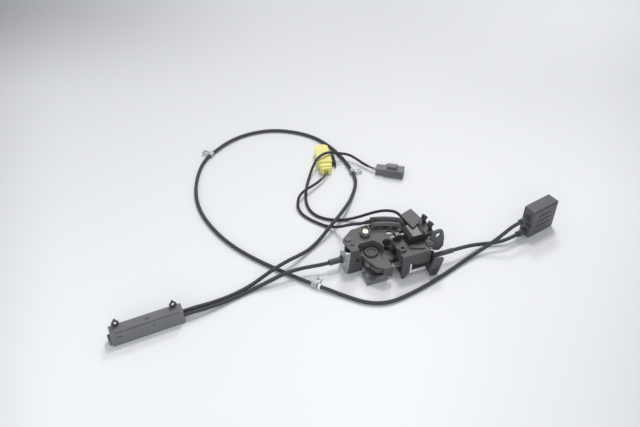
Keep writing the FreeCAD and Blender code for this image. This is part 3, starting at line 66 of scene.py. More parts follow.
LOOP_ROUTE = (
    (-0.2737, 0.0062, 0.0090), (-0.2597, 0.0072, 0.0090), (-0.2380, 0.0100, 0.0055),
    (-0.2110, 0.0150, 0.0030), (-0.1860, 0.0210, 0.0040), (-0.1670, 0.0260, 0.0090),
    (-0.1520, 0.0305, 0.0125), (-0.1300, 0.0385, 0.0125), (-0.1110, 0.0470, 0.0080),
    (-0.0920, 0.0575, 0.0032), (-0.0720, 0.0690, 0.0060), (-0.0550, 0.0800, 0.0125),
    (-0.0360, 0.0945, 0.0130), (-0.0180, 0.1115, 0.0120), (-0.0040, 0.1285, 0.0065),
    (0.0090, 0.1470, 0.0032), (0.0195, 0.1630, 0.0040), (0.0250, 0.1800, 0.0040),
    (0.0264, 0.2040, 0.0040), (0.0255, 0.2320, 0.0032), (0.0200, 0.2630, 0.0030),
    (0.0070, 0.2960, 0.0030), (-0.0170, 0.3230, 0.0030), (-0.0540, 0.3440, 0.0030),
    (-0.0960, 0.3460, 0.0030), (-0.1280, 0.3345, 0.0040), (-0.1500, 0.3200, 0.0040),
    (-0.1745, 0.3015, 0.0040), (-0.1930, 0.2700, 0.0030), (-0.2065, 0.2300, 0.0030),
    (-0.2105, 0.1870, 0.0030), (-0.2030, 0.1440, 0.0030), (-0.1880, 0.1030, 0.0030),
    (-0.1660, 0.0665, 0.0030), (-0.1390, 0.0315, 0.0030), (-0.1200, 0.0070, 0.0040),
    (-0.0980, -0.0170, 0.0040), (-0.0790, -0.0370, 0.0030), (-0.0590, -0.0565, 0.0030),
    (-0.0340, -0.0655, 0.0030), (-0.0020, -0.0615, 0.0030), (0.0350, -0.0525, 0.0030),
    (0.0720, -0.0400, 0.0030), (0.1000, -0.0310, 0.0040), (0.1200, -0.0275, 0.0080),
    (0.1380, -0.0270, 0.0170), (0.1520, -0.0260, 0.0255), (0.1640, -0.0234, 0.0300),
    (0.1762, -0.0207, 0.0300))

RIGHT_ROUTE = (
    (0.0746, -0.0240, 0.0173), (0.0836, -0.0240, 0.0173), (0.1000, -0.0215, 0.0140),
    (0.1160, -0.0180, 0.0080), (0.1330, -0.0175, 0.0035), (0.1490, -0.0223, 0.0055),
    (0.1640, -0.0234, 0.0085), (0.1762, -0.0207, 0.0085))

SWITCH_ROUTE = (
    (0.0260, 0.0220, 0.0450), (0.0260, 0.0320, 0.0450), (0.0250, 0.0450, 0.0425),
    (0.0205, 0.0580, 0.0360), (0.0135, 0.0700, 0.0275), (0.0045, 0.0805, 0.0175),
    (-0.0080, 0.0890, 0.0080), (-0.0220, 0.0950, 0.0026), (-0.0370, 0.1000, 0.0022),
    (-0.0510, 0.1080, 0.0022), (-0.0610, 0.1200, 0.0022), (-0.0650, 0.1355, 0.0022),
    (-0.0630, 0.1520, 0.0022), (-0.0575, 0.1690, 0.0022), (-0.0490, 0.1870, 0.0022),
    (-0.0390, 0.2025, 0.0050), (-0.0290, 0.2145, 0.0130), (-0.0165, 0.2245, 0.0205),
    (0.0020, 0.2310, 0.0205), (0.0180, 0.2315, 0.0135), (0.0335, 0.2255, 0.0115),
    (0.0430, 0.2140, 0.0075), (0.0485, 0.2008, 0.0060), (0.0530, 0.1930, 0.0060))

SENSOR_ROUTE = (
    (-0.0218, 0.0390, 0.0436), (-0.0274, 0.0422, 0.0408), (-0.0350, 0.0495, 0.0360),
    (-0.0375, 0.0600, 0.0265), (-0.0410, 0.0710, 0.0160), (-0.0460, 0.0820, 0.0070),
    (-0.0540, 0.0920, 0.0026), (-0.0630, 0.1030, 0.0022), (-0.0720, 0.1160, 0.0022),
    (-0.0780, 0.1300, 0.0022), (-0.0785, 0.1445, 0.0035), (-0.0730, 0.1570, 0.0095),
    (-0.0610, 0.1670, 0.0105), (-0.0475, 0.1740, 0.0090), (-0.0349, 0.1811, 0.0075),
    (-0.0265, 0.1865, 0.0075))

# Cord name, its route, whether it is a cable, its far end, stiffness and the pieces on it.
CORDS = (
    ("left_cable", LEFT_ROUTE, True, "fitting", "stiff",
     ("coupler_base", "coupler_cover", "coupler_end_cap", "coupler_clips")),
    ("loop_cable", LOOP_ROUTE, True, "fitting", "stiff",
     ("junction_base", "junction_cover", "junction_ports", "cable_clips", "cable_ring")),
    ("right_cable", RIGHT_ROUTE, True, "object", "stiff", ()),
    ("switch_lead", SWITCH_ROUTE, False, "plug", "medium",
     ("black_plug", "black_plug_lock", "switch_threads")),
    ("sensor_lead", SENSOR_ROUTE, False, "plug", "medium",
     ("yellow_plug", "yellow_plug_collar", "yellow_plug_clip", "sensor_threads")),
)

# Rounding and shading of the CAD pieces.
EDGE_ROUND = 0.25 * MM
EDGE_ANGLE = math.radians(40.0)
SMOOTH_ANGLE = math.radians(32.0)
ROUNDED_SLOTS = ("black_steel", "grey_steel", "zinc_steel", "yellow_zinc", "black_plastic",
                 "dark_plastic", "yellow_plastic")

# Heights of the grain and of the drawn lines in a surface, and the colour of dust.
GRAIN_HEIGHT = 0.1 * MM
LINE_HEIGHT = 0.05 * MM
DUST_COLOUR = (0.42, 0.43, 0.44, 1.0)

# Fineness of the cords, along them and round them.
CORD_STEPS = 10
CORD_SIDES = 5

# The table top, and the lamps: name, place, size, colour and the setting with the power.
TABLE_HALF = 4.0
LAMP_TARGET = (-0.05, 0.05, 0.0)
LAMPS = (
    ("key_lamp", (0.33, 0.52, 1.6), (0.30, 0.30), (1.0, 0.99, 0.97), "key_power"),
    ("back_lamp", (0.65, 1.15, 1.4), (0.35, 0.35), (0.97, 0.98, 1.0), "back_power"),
    ("fill_lamp", (-0.75, -1.1, 0.6), (1.4, 1.0), (0.97, 0.98, 1.0), "fill_power"),
)

# The stretch of table that the camera sees widens away from it. Places on the table are
# counted over that stretch, from -1 to 1 across and from -1 to 1 away.
VIEW_TURN = math.radians(21.0)
VIEW_MIDDLE = -0.093
VIEW_HALF = 0.40
VIEW_SPREAD = 0.34
VIEW_NEAR = -0.23
VIEW_FAR = 0.80
VIEW_EDGE = 1.2

# How the light falls off: towards the back, past the two sides and into the corners. A corner
# is given as its side, its end and its tone, and starts at these places across and away.
BACK_TONE = 0.725
SIDE_START = 0.8
SIDE_END = 1.6
LEFT_TONE = 0.55
RIGHT_TONE = 0.75
CORNER_ACROSS = 0.1
CORNER_AWAY = 0.2
CORNER_TONES = ((-1, 1, 0.62), (1, 1, 1.24), (-1, -1, 1.05), (1, -1, 0.89))
DARKEST_TONE = 0.42
BRIGHTEST_TONE = 1.1

# A faint crease across the table, shown as painted shade: its direction, its distance, its width
# and the tone of the painted shade past it.
CREASE_LINE = (0.835, 0.550, 0.0)
CREASE_PLACE = 0.388
CREASE_WIDE = 0.008
CREASE_SHADE_TONE = 0.992


# Settings

class LatchFinish(bpy.types.PropertyGroup):
    """Colours and grain of the latch's materials."""

    coating: bpy.props.FloatVectorProperty(
        name="Coating", description="Black coating of the frame plates",
        default=(0.073, 0.074, 0.076), subtype="COLOR", size=3, min=0.0, max=1.0)
    phosphate: bpy.props.FloatVectorProperty(
        name="Phosphate", description="Grey steel of the catch, pawl and rivets",
        default=(0.072, 0.074, 0.077), subtype="COLOR", size=3, min=0.0, max=1.0)
    plating: bpy.props.FloatVectorProperty(
        name="Plating", description="Zinc plated brackets and clips",
        default=(0.41, 0.42, 0.425), subtype="COLOR", size=3, min=0.0, max=1.0)
    moulding: bpy.props.FloatVectorProperty(
        name="Moulding", description="Black plastic of the housings and plugs",
        default=(0.060, 0.061, 0.064), subtype="COLOR", size=3, min=0.0, max=1.0)
    plug_yellow: bpy.props.FloatVectorProperty(
        name="Yellow plug", description="Plastic of the sensor lead's plug",
        default=(0.80, 0.76, 0.26), subtype="COLOR", size=3, min=0.0, max=1.0)
    sheath: bpy.props.FloatVectorProperty(
        name="Sheath", description="Plastic sheath of the cables and leads",
        default=(0.078, 0.081, 0.086), subtype="COLOR", size=3, min=0.0, max=1.0)
    grain: bpy.props.FloatProperty(
        name="Grain", description="Depth of the surface grain", default=0.25, min=0.0, max=1.0,
        subtype="FACTOR")


class LatchCords(bpy.types.PropertyGroup):
    """Diameters of the cables and leads."""

    cable_wide: bpy.props.FloatProperty(
        name="Cable", description="Diameter of the cable sheaths", default=5.0 * MM,
        min=1.0 * MM, max=20.0 * MM, unit="LENGTH", precision=4)
    lead_wide: bpy.props.FloatProperty(
        name="Lead", description="Diameter of the lead sheaths", default=4.0 * MM,
        min=1.0 * MM, max=20.0 * MM, unit="LENGTH", precision=4)


class LatchStage(bpy.types.PropertyGroup):
    """Camera, light and table."""

    camera_place: bpy.props.FloatVectorProperty(
        name="Camera", description="Place of the camera",
        default=(-0.3138, -0.5573, 0.6340), subtype="TRANSLATION", unit="LENGTH", size=3)
    camera_turn: bpy.props.FloatProperty(
        name="Heading", description="Direction in plan, clockwise from +Y",
        default=VIEW_TURN, subtype="ANGLE", unit="ROTATION")
    camera_dip: bpy.props.FloatProperty(
        name="Dip", description="How far the camera looks down",
        default=math.radians(41.0), subtype="ANGLE", unit="ROTATION")
    lens: bpy.props.FloatProperty(
        name="Lens", description="Focal length on a 36 mm wide sensor", default=38.5,
        min=10.0, max=200.0, subtype="DISTANCE_CAMERA")
    table_colour: bpy.props.FloatVectorProperty(
        name="Table", description="White gloss of the table top",
        default=(0.859, 0.868, 0.892), subtype="COLOR", size=3, min=0.0, max=1.0)
    key_power: bpy.props.FloatProperty(
        name="Key light", description="Lamp high above the table", default=10.0, min=0.0,
        subtype="POWER", unit="POWER")
    back_power: bpy.props.FloatProperty(
        name="Back light", description="Lower lamp behind the table", default=8.4, min=0.0,
        subtype="POWER", unit="POWER")
    fill_power: bpy.props.FloatProperty(
        name="Fill light", description="Wide soft lamp on the front left", default=6.5, min=0.0,
        subtype="POWER", unit="POWER")
    sky_strength: bpy.props.FloatProperty(
        name="Room light", description="Strength of the even room light", default=0.53, min=0.0)


SETTINGS = (("latch_finish", LatchFinish), ("latch_cords", LatchCords),
            ("latch_stage", LatchStage))


# Node helpers

def add_node(tree, kind, **values):
    """Adds a node; a name like Scale sets an input, any other name an attribute."""
    node = tree.nodes.new(kind)
    for name, value in values.items():
        if name in node.inputs:
            node.inputs[name].default_value = value
        else:
            setattr(node, name, value)
    return node


def new_group(name, inputs, outputs):
    """An empty shader group with typed sockets."""
    group = bpy.data.node_groups.new(name, "ShaderNodeTree")
    for label, kind, default in inputs:
        socket = group.interface.new_socket(name=label, in_out="INPUT", socket_type=kind)
        if default is not None:
            socket.default_value = default
    for label, kind in outputs:
        group.interface.new_socket(name=label, in_out="OUTPUT", socket_type=kind)
    source = group.nodes.new("NodeGroupInput")
    target = group.nodes.new("NodeGroupOutput")
    return group, source, target


def surface_group():
    """Cloudy tone, uneven gloss and a fine grain, for every solid surface."""
    name = "Latch surface"
    if name in bpy.data.node_groups:
        return bpy.data.node_groups[name]
    group, source, target = new_group(
        name,
        [("Vector", "NodeSocketVector", None), ("Color", "NodeSocketColor", (1, 1, 1, 1)),
         ("Tone Change", "NodeSocketFloat", 0.15), ("Tone Scale", "NodeSocketFloat", 60.0),
         ("Roughness", "NodeSocketFloat", 0.5), ("Gloss Change", "NodeSocketFloat", 0.1),
         ("Grain Scale", "NodeSocketFloat", 1500.0), ("Grain Depth", "NodeSocketFloat", 0.2)],
        [("Color", "NodeSocketColor"), ("Roughness", "NodeSocketFloat"),
         ("Normal", "NodeSocketVector")])
    links = group.links
    cloud = add_node(group, "ShaderNodeTexNoise", Detail=4.0, Roughness=0.6)
    links.new(source.outputs["Vector"], cloud.inputs["Vector"])
    links.new(source.outputs["Tone Scale"], cloud.inputs["Scale"])
    centred = add_node(group, "ShaderNodeMath", operation="SUBTRACT")
    centred.inputs[1].default_value = 0.5
    links.new(cloud.outputs["Fac"], centred.inputs[0])
    amount = add_node(group, "ShaderNodeMath", operation="MULTIPLY")
    links.new(centred.outputs[0], amount.inputs[0])
    links.new(source.outputs["Tone Change"], amount.inputs[1])
    level = add_node(group, "ShaderNodeMath", operation="MULTIPLY_ADD")
    level.inputs[1].default_value = 2.0
    level.inputs[2].default_value = 1.0
    links.new(amount.outputs[0], level.inputs[0])
    shade = add_node(group, "ShaderNodeVectorMath", operation="SCALE")
    links.new(source.outputs["Color"], shade.inputs[0])
    links.new(level.outputs[0], shade.inputs["Scale"])
    links.new(shade.outputs[0], target.inputs["Color"])
    gloss = add_node(group, "ShaderNodeMath", operation="MULTIPLY")
    links.new(centred.outputs[0], gloss.inputs[0])
    links.new(source.outputs["Gloss Change"], gloss.inputs[1])
    rough = add_node(group, "ShaderNodeMath", operation="ADD", use_clamp=True)
    links.new(gloss.outputs[0], rough.inputs[0])
    links.new(source.outputs["Roughness"], rough.inputs[1])
    links.new(rough.outputs[0], target.inputs["Roughness"])
    grain = add_node(group, "ShaderNodeTexNoise", Detail=2.0, Roughness=0.5)
    links.new(source.outputs["Vector"], grain.inputs["Vector"])
    links.new(source.outputs["Grain Scale"], grain.inputs["Scale"])
    bump = add_node(group, "ShaderNodeBump", Distance=GRAIN_HEIGHT)
    links.new(grain.outputs["Fac"], bump.inputs["Height"])
    links.new(source.outputs["Grain Depth"], bump.inputs["Strength"])
    links.new(bump.outputs["Normal"], target.inputs["Normal"])
    return group


def spangle_group():
    """Patches of zinc crystal, each a little lighter or darker."""
    name = "Latch spangle"
    if name in bpy.data.node_groups:
        return bpy.data.node_groups[name]
    group, source, target = new_group(
        name,
        [("Vector", "NodeSocketVector", None), ("Color", "NodeSocketColor", (1, 1, 1, 1)),
         ("Scale", "NodeSocketFloat", 250.0), ("Amount", "NodeSocketFloat", 0.2)],
        [("Color", "NodeSocketColor")])
    links = group.links
    cells = add_node(group, "ShaderNodeTexVoronoi")
    links.new(source.outputs["Vector"], cells.inputs["Vector"])
    links.new(source.outputs["Scale"], cells.inputs["Scale"])
    grey = add_node(group, "ShaderNodeSeparateColor")
    links.new(cells.outputs["Color"], grey.inputs[0])
    centred = add_node(group, "ShaderNodeMath", operation="SUBTRACT")
    centred.inputs[1].default_value = 0.5
    links.new(grey.outputs[0], centred.inputs[0])
    level = add_node(group, "ShaderNodeMath", operation="MULTIPLY_ADD")
    level.inputs[2].default_value = 1.0
    links.new(centred.outputs[0], level.inputs[0])
    links.new(source.outputs["Amount"], level.inputs[1])
    shade = add_node(group, "ShaderNodeVectorMath", operation="SCALE")
    links.new(source.outputs["Color"], shade.inputs[0])
    links.new(level.outputs[0], shade.inputs["Scale"])
    links.new(shade.outputs[0], target.inputs["Color"])
    return group


def dust_group():
    """Pale dust on faces that look up, broken into specks and film."""
    name = "Latch dust"
    if name in bpy.data.node_groups:
        return bpy.data.node_groups[name]
    group, source, target = new_group(
        name,
        [("Vector", "NodeSocketVector", None), ("Amount", "NodeSocketFloat", 0.2),
         ("Scale", "NodeSocketFloat", 400.0)],
        [("Fac", "NodeSocketFloat")])
    links = group.links
    shape = add_node(group, "ShaderNodeNewGeometry")
    split = add_node(group, "ShaderNodeSeparateXYZ")
    links.new(shape.outputs["Normal"], split.inputs[0])
    upward = add_node(group, "ShaderNodeMapRange")
    upward.inputs["From Min"].default_value = 0.2
    links.new(split.outputs["Z"], upward.inputs["Value"])
    film = add_node(group, "ShaderNodeTexNoise", Detail=6.0, Roughness=0.7)
    links.new(source.outputs["Vector"], film.inputs["Vector"])
    links.new(source.outputs["Scale"], film.inputs["Scale"])
    patch = add_node(group, "ShaderNodeMapRange")
    patch.inputs["From Min"].default_value = 0.42
    patch.inputs["From Max"].default_value = 0.75
    links.new(film.outputs["Fac"], patch.inputs["Value"])
    both = add_node(group, "ShaderNodeMath", operation="MULTIPLY")
    links.new(upward.outputs[0], both.inputs[0])
    links.new(patch.outputs[0], both.inputs[1])
    scaled = add_node(group, "ShaderNodeMath", operation="MULTIPLY", use_clamp=True)
    links.new(both.outputs[0], scaled.inputs[0])
    links.new(source.outputs["Amount"], scaled.inputs[1])
    links.new(scaled.outputs[0], target.inputs["Fac"])
    return group


def rib_group():
    """Rings or lines along one axis, as a height."""
    name = "Latch lines"
    if name in bpy.data.node_groups:
        return bpy.data.node_groups[name]
    group, source, target = new_group(
        name,
        [("Vector", "NodeSocketVector", None), ("Stretch", "NodeSocketVector", (1, 1, 1)),
         ("Scale", "NodeSocketFloat", 600.0), ("Normal", "NodeSocketVector", None),
         ("Depth", "NodeSocketFloat", 0.2)],
        [("Normal", "NodeSocketVector")])
    links = group.links
    stretch = add_node(group, "ShaderNodeVectorMath", operation="MULTIPLY")
    links.new(source.outputs["Vector"], stretch.inputs[0])
    links.new(source.outputs["Stretch"], stretch.inputs[1])
    lines = add_node(group, "ShaderNodeTexNoise", Detail=2.0)
    links.new(stretch.outputs[0], lines.inputs["Vector"])
    links.new(source.outputs["Scale"], lines.inputs["Scale"])
    bump = add_node(group, "ShaderNodeBump", Distance=LINE_HEIGHT)
    links.new(lines.outputs["Fac"], bump.inputs["Height"])
    links.new(source.outputs["Depth"], bump.inputs["Strength"])
    links.new(source.outputs["Normal"], bump.inputs["Normal"])
    links.new(bump.outputs["Normal"], target.inputs["Normal"])
    return group


def make_material(name, colour, metallic, roughness, tone=0.15, tone_scale=60.0, gloss=0.12,
                  grain_scale=1500.0, grain=0.2, dust=0.0, spangle=0.0, lines=None, soft=0.0):
    """One procedural material from the shared groups."""
    if name in bpy.data.materials:
        return bpy.data.materials[name]
    material = bpy.data.materials.new(name)
    material.use_nodes = True
    tree = material.node_tree
    tree.nodes.clear()
    links = tree.links
    output = tree.nodes.new("ShaderNodeOutputMaterial")
    shader = tree.nodes.new("ShaderNodeBsdfPrincipled")
    links.new(shader.outputs[0], output.inputs["Surface"])
    place = tree.nodes.new("ShaderNodeTexCoord")
    surface = tree.nodes.new("ShaderNodeGroup")
    surface.node_tree = surface_group()
    links.new(place.outputs["Object"], surface.inputs["Vector"])
    base = (*colour, 1.0)
    surface.inputs["Color"].default_value = base
    surface.inputs["Tone Change"].default_value = tone
    surface.inputs["Tone Scale"].default_value = tone_scale
    surface.inputs["Roughness"].default_value = roughness
    surface.inputs["Gloss Change"].default_value = gloss
    surface.inputs["Grain Scale"].default_value = grain_scale
    surface.inputs["Grain Depth"].default_value = grain
    colour_out = surface.outputs["Color"]
    normal_out = surface.outputs["Normal"]
    if spangle:
        patches = tree.nodes.new("ShaderNodeGroup")
        patches.node_tree = spangle_group()
        patches.inputs["Color"].default_value = base
        patches.inputs["Amount"].default_value = spangle
        links.new(place.outputs["Object"], patches.inputs["Vector"])
        links.new(patches.outputs["Color"], surface.inputs["Color"])
    if lines:
        stretch, scale, depth = lines
        ribs = tree.nodes.new("ShaderNodeGroup")
        ribs.node_tree = rib_group()
        ribs.inputs["Stretch"].default_value = stretch
        ribs.inputs["Scale"].default_value = scale
        ribs.inputs["Depth"].default_value = depth
        links.new(place.outputs["Object"], ribs.inputs["Vector"])
        links.new(normal_out, ribs.inputs["Normal"])
        normal_out = ribs.outputs["Normal"]
    if dust:
        film = tree.nodes.new("ShaderNodeGroup")
        film.node_tree = dust_group()
        film.inputs["Amount"].default_value = dust
        links.new(place.outputs["Object"], film.inputs["Vector"])
        mix = tree.nodes.new("ShaderNodeMix")
        mix.data_type = "RGBA"
        mix.inputs["B"].default_value = DUST_COLOUR
        links.new(film.outputs["Fac"], mix.inputs["Factor"])
        links.new(colour_out, mix.inputs["A"])
        colour_out = mix.outputs["Result"]
    links.new(colour_out, shader.inputs["Base Color"])
    links.new(surface.outputs["Roughness"], shader.inputs["Roughness"])
    links.new(normal_out, shader.inputs["Normal"])
    shader.inputs["Metallic"].default_value = metallic
    shader.inputs["Subsurface Weight"].default_value = soft
    shader.inputs["Subsurface Radius"].default_value = (0.002, 0.0015, 0.0008)
    return material


def slot_materials(finish):
    """The material of each of the record's slots."""
    grain = finish.grain
    return {
        "black_steel": make_material("black_coating", finish.coating, 0.0, 0.55, tone=0.22,
                                     tone_scale=45.0, gloss=0.15, grain_scale=900.0,
                                     grain=grain * 0.5, dust=0.05),
        "grey_steel": make_material("grey_phosphate", finish.phosphate, 0.3, 0.52, tone=0.25,
                                    tone_scale=120.0, gloss=0.2, grain_scale=1800.0,
                                    grain=grain * 0.6, dust=0.05),
        "zinc_steel": make_material("zinc_plating", finish.plating, 0.55, 0.48, tone=0.2,
                                    tone_scale=90.0, gloss=0.2, grain=grain * 0.6, spangle=0.25,
                                    lines=((1.0, 0.05, 1.0), 900.0, 0.2)),
        "yellow_zinc": make_material("yellow_zinc", (0.34, 0.31, 0.22), 0.3, 0.62, tone=0.3,
                                     tone_scale=220.0, gloss=0.3, grain=grain, spangle=0.2),
        "spring_steel": make_material("spring_wire", (0.20, 0.20, 0.21), 0.8, 0.42, tone=0.15,
                                      grain=grain * 0.5, lines=((1.0, 1.0, 0.1), 1500.0, 0.25)),
        "black_plastic": make_material("black_moulding", finish.moulding, 0.0, 0.48,
                                       grain_scale=2200.0, grain=grain, dust=0.04),
        "dark_plastic": make_material("box_moulding", (0.092, 0.095, 0.100), 0.0, 0.5,
                                      tone=0.12, grain_scale=1600.0, grain=grain, dust=0.04),
        "yellow_plastic": make_material("yellow_moulding", finish.plug_yellow, 0.0, 0.38,
                                        tone=0.06, grain=grain * 0.4, soft=0.15),
        "white_plastic": make_material("natural_nylon", (0.82, 0.82, 0.80), 0.0, 0.40,
                                       tone=0.06, grain=grain * 0.4, soft=0.2),
        "rubber": make_material("rubber", (0.045, 0.045, 0.047), 0.0, 0.68, tone=0.2,
                                grain_scale=2600.0, grain=grain * 1.2, dust=0.08),
        "cable_sheath": make_material("cable_sheath", finish.sheath, 0.0, 0.36, tone=0.2,
                                      tone_scale=200.0, grain_scale=1200.0, grain=grain * 0.8,
                                      dust=0.03),
        "lead_sheath": make_material("lead_sheath", tuple(0.8 * part for part in finish.sheath),
                                     0.0, 0.46, tone=0.2, tone_scale=220.0, grain=grain,
                                     dust=0.03),
        "wire_black": make_material("wire_insulation", (0.05, 0.048, 0.05), 0.0, 0.40,
                                    tone=0.15, grain=grain * 0.5),
    }


def piece_materials(finish):
    """Finishes of the pieces that differ from the rest of their slot. Some are only lighter copies
    of their slot's finish, with painted light or a painted highlight.
    """
    grain = finish.grain
    coupler = make_material("coupler_moulding", (0.155, 0.159, 0.168), 0.0, 0.5, tone=0.12,
                            grain_scale=1600.0, grain=grain, dust=0.04)
    plug = make_material("plug_moulding", (0.150, 0.154, 0.160), 0.0, 0.5, tone=0.12,
                         grain_scale=1800.0, grain=grain, dust=0.04)
    boss = make_material("worn_boss", (0.052, 0.053, 0.055), 0.2, 0.55, tone=0.3, tone_scale=160.0,
                         grain_scale=1500.0, grain=grain * 0.6, dust=0.04)
    # Painted light: the lower bracket, the lead channel and the ear bracket get lighter copies of
    # the black coating, which paint the light on their faces.
    lower = make_material("lower_coating", (0.165, 0.168, 0.172), 0.0, 0.55, tone=0.22,
                          tone_scale=60.0, grain_scale=900.0, grain=grain * 0.5, dust=0.05)
    ear = make_material("ear_coating", (0.092, 0.094, 0.097), 0.0, 0.52, tone=0.2,
                        tone_scale=60.0, grain_scale=900.0, grain=grain * 0.5, dust=0.05)
    dark = make_material("dark_steel", (0.085, 0.087, 0.090), 0.1, 0.5, tone=0.25,
                         tone_scale=120.0, grain_scale=1500.0, grain=grain * 0.6, dust=0.04)
    gloss = make_material("switch_moulding", (0.024, 0.025, 0.027), 0.0, 0.34, tone=0.15,
                          grain_scale=2200.0, grain=grain * 0.6, dust=0.02)
    clip = make_material("clip_moulding", (0.055, 0.060, 0.058), 0.0, 0.5, tone=0.15,
                         grain_scale=2200.0, grain=grain, dust=0.02)
    # Painted highlight: the front strip's near-white colour, lighter than the zinc plating, paints
    # the reflection on its metal.
    strip = make_material("bright_strip", (0.80, 0.81, 0.83), 0.2, 0.45, tone=0.2,
                          tone_scale=160.0, grain=grain * 0.6)
    return {
        "coupler_base": coupler, "coupler_cover": coupler, "coupler_end_cap": coupler,
        "black_plug": plug, "black_plug_lock": plug, "catch_rivet": boss,
        "lower_bracket": lower, "lead_channel": lower, "ear_bracket": ear, "catch": dark,
        "frame_posts": dark, "switch_housing": gloss, "plunger_guide": gloss,
        "yellow_plug_clip": clip, "front_strip": strip,
    }


# Geometry helpers

def link(item):
    bpy.context.scene.collection.objects.link(item)
    return item


def shade_by_angle(item):
    """Smooth shading that keeps the sharp edges."""
    item.data.shade_smooth()
    item.data.set_sharp_from_angle(angle=SMOOTH_ANGLE)


def soften(item):
    """A small bevel on the sharp edges of a CAD node."""
    bevel = item.modifiers.new("edge_round", "BEVEL")
    bevel.width = EDGE_ROUND
    bevel.segments = 2
    bevel.limit_method = "ANGLE"
    bevel.angle_limit = EDGE_ANGLE
    bevel.harden_normals = False


def spline_length(points):
    """Length of the smooth line that has these points as its control points."""
    data = bpy.data.curves.new("measure", "CURVE")
    data.dimensions = "3D"
    add_spline(data, points)
    item = link(bpy.data.objects.new("measure", data))
    bpy.context.view_layer.update()
    mesh = bpy.data.meshes.new_from_object(item)
    places = [vertex.co.copy() for vertex in mesh.vertices]
    total = sum((b - a).length for a, b in zip(places, places[1:]))
    bpy.data.objects.remove(item)
    bpy.data.curves.remove(data)
    bpy.data.meshes.remove(mesh)
    return total


def add_spline(data, points):
    """A smooth open line that starts and ends on the first and the last point."""
    spline = data.splines.new("NURBS")
    spline.points.add(len(points) - 1)
    for target, place in zip(spline.points, points):
        target.co = (*place, 1.0)
    spline.order_u = 3
    spline.use_endpoint_u = True
    spline.resolution_u = CORD_STEPS


def lay_cord(name, points, diameter, material):
    """A smooth round cord along the route's points."""
    data = bpy.data.curves.new(name, "CURVE")
    data.dimensions = "3D"
    add_spline(data, points)
    data.bevel_depth = diameter / 2
    data.bevel_resolution = CORD_SIDES
    data.use_fill_caps = True
    data.materials.append(material)
    return link(bpy.data.objects.new(name, data))


# Table, lamps, room and camera

def product_of(tree, factors):
    """Multiplies any number of sockets."""
    result = factors[0]
    for factor in factors[1:]:
        step = add_node(tree, "ShaderNodeMath", operation="MULTIPLY")
        tree.links.new(result, step.inputs[0])
        tree.links.new(factor, step.inputs[1])
        result = step.outputs[0]
    return result


def smooth_change(tree, value, start, end, first, last):
    """Goes from the first to the last amount while the value goes from start to end."""
    change = add_node(tree, "ShaderNodeMapRange", interpolation_type="SMOOTHSTEP")
    change.inputs["From Min"].default_value = start
    change.inputs["From Max"].default_value = end
    change.inputs["To Min"].default_value = first
    change.inputs["To Max"].default_value = last
    tree.links.new(value, change.inputs["Value"])
    return change.outputs[0]


def table_places(tree, flat):
    """Places across and away on the seen stretch of table, held at its edges."""
    links = tree.links
    parts = add_node(tree, "ShaderNodeSeparateXYZ")
    links.new(flat, parts.inputs[0])
    away = add_node(tree, "ShaderNodeMapRange")
    away.inputs["From Min"].default_value = VIEW_NEAR
    away.inputs["From Max"].default_value = VIEW_FAR
    away.inputs["To Min"].default_value = -1.0
    away.inputs["To Max"].default_value = 1.0
    links.new(parts.outputs["Y"], away.inputs["Value"])
    held = add_node(tree, "ShaderNodeClamp", Min=VIEW_NEAR, Max=VIEW_FAR)
    links.new(parts.outputs["Y"], held.inputs["Value"])
    half = add_node(tree, "ShaderNodeMath", operation="MULTIPLY_ADD")
    half.inputs[1].default_value = VIEW_SPREAD
    half.inputs[2].default_value = VIEW_HALF
    links.new(held.outputs[0], half.inputs[0])
    shift = add_node(tree, "ShaderNodeMath", operation="SUBTRACT")
    shift.inputs[1].default_value = VIEW_MIDDLE
    links.new(parts.outputs["X"], shift.inputs[0])
    share = add_node(tree, "ShaderNodeMath", operation="DIVIDE")
    links.new(shift.outputs[0], share.inputs[0])
    links.new(half.outputs[0], share.inputs[1])
    across = add_node(tree, "ShaderNodeClamp", Min=-VIEW_EDGE, Max=VIEW_EDGE)
    links.new(share.outputs[0], across.inputs["Value"])
    return across.outputs[0], away.outputs[0]


def corner_tone(tree, across, away, side, end, tone):
    """One in the middle of the seen stretch, and the given tone in one of its corners."""
    sideways = smooth_change(tree, across, side * CORNER_ACROSS, side * VIEW_EDGE, 0.0, 1.0)
    endways = smooth_change(tree, away, end * CORNER_AWAY, end, 0.0, 1.0)
    level = add_node(tree, "ShaderNodeMath", operation="MULTIPLY_ADD")
    level.inputs[1].default_value = tone - 1.0
    level.inputs[2].default_value = 1.0
    tree.links.new(product_of(tree, [sideways, endways]), level.inputs[0])
    return level.outputs[0]


def crease_painted_shade(tree, flat):
    """Painted shade at the crease: a small step in tone along a straight line."""
    distance = add_node(tree, "ShaderNodeVectorMath", operation="DOT_PRODUCT")
    distance.inputs[1].default_value = CREASE_LINE
    tree.links.new(flat, distance.inputs[0])
    return smooth_change(tree, distance.outputs["Value"], CREASE_PLACE - CREASE_WIDE / 2,
                         CREASE_PLACE + CREASE_WIDE / 2, 1.0, CREASE_SHADE_TONE)


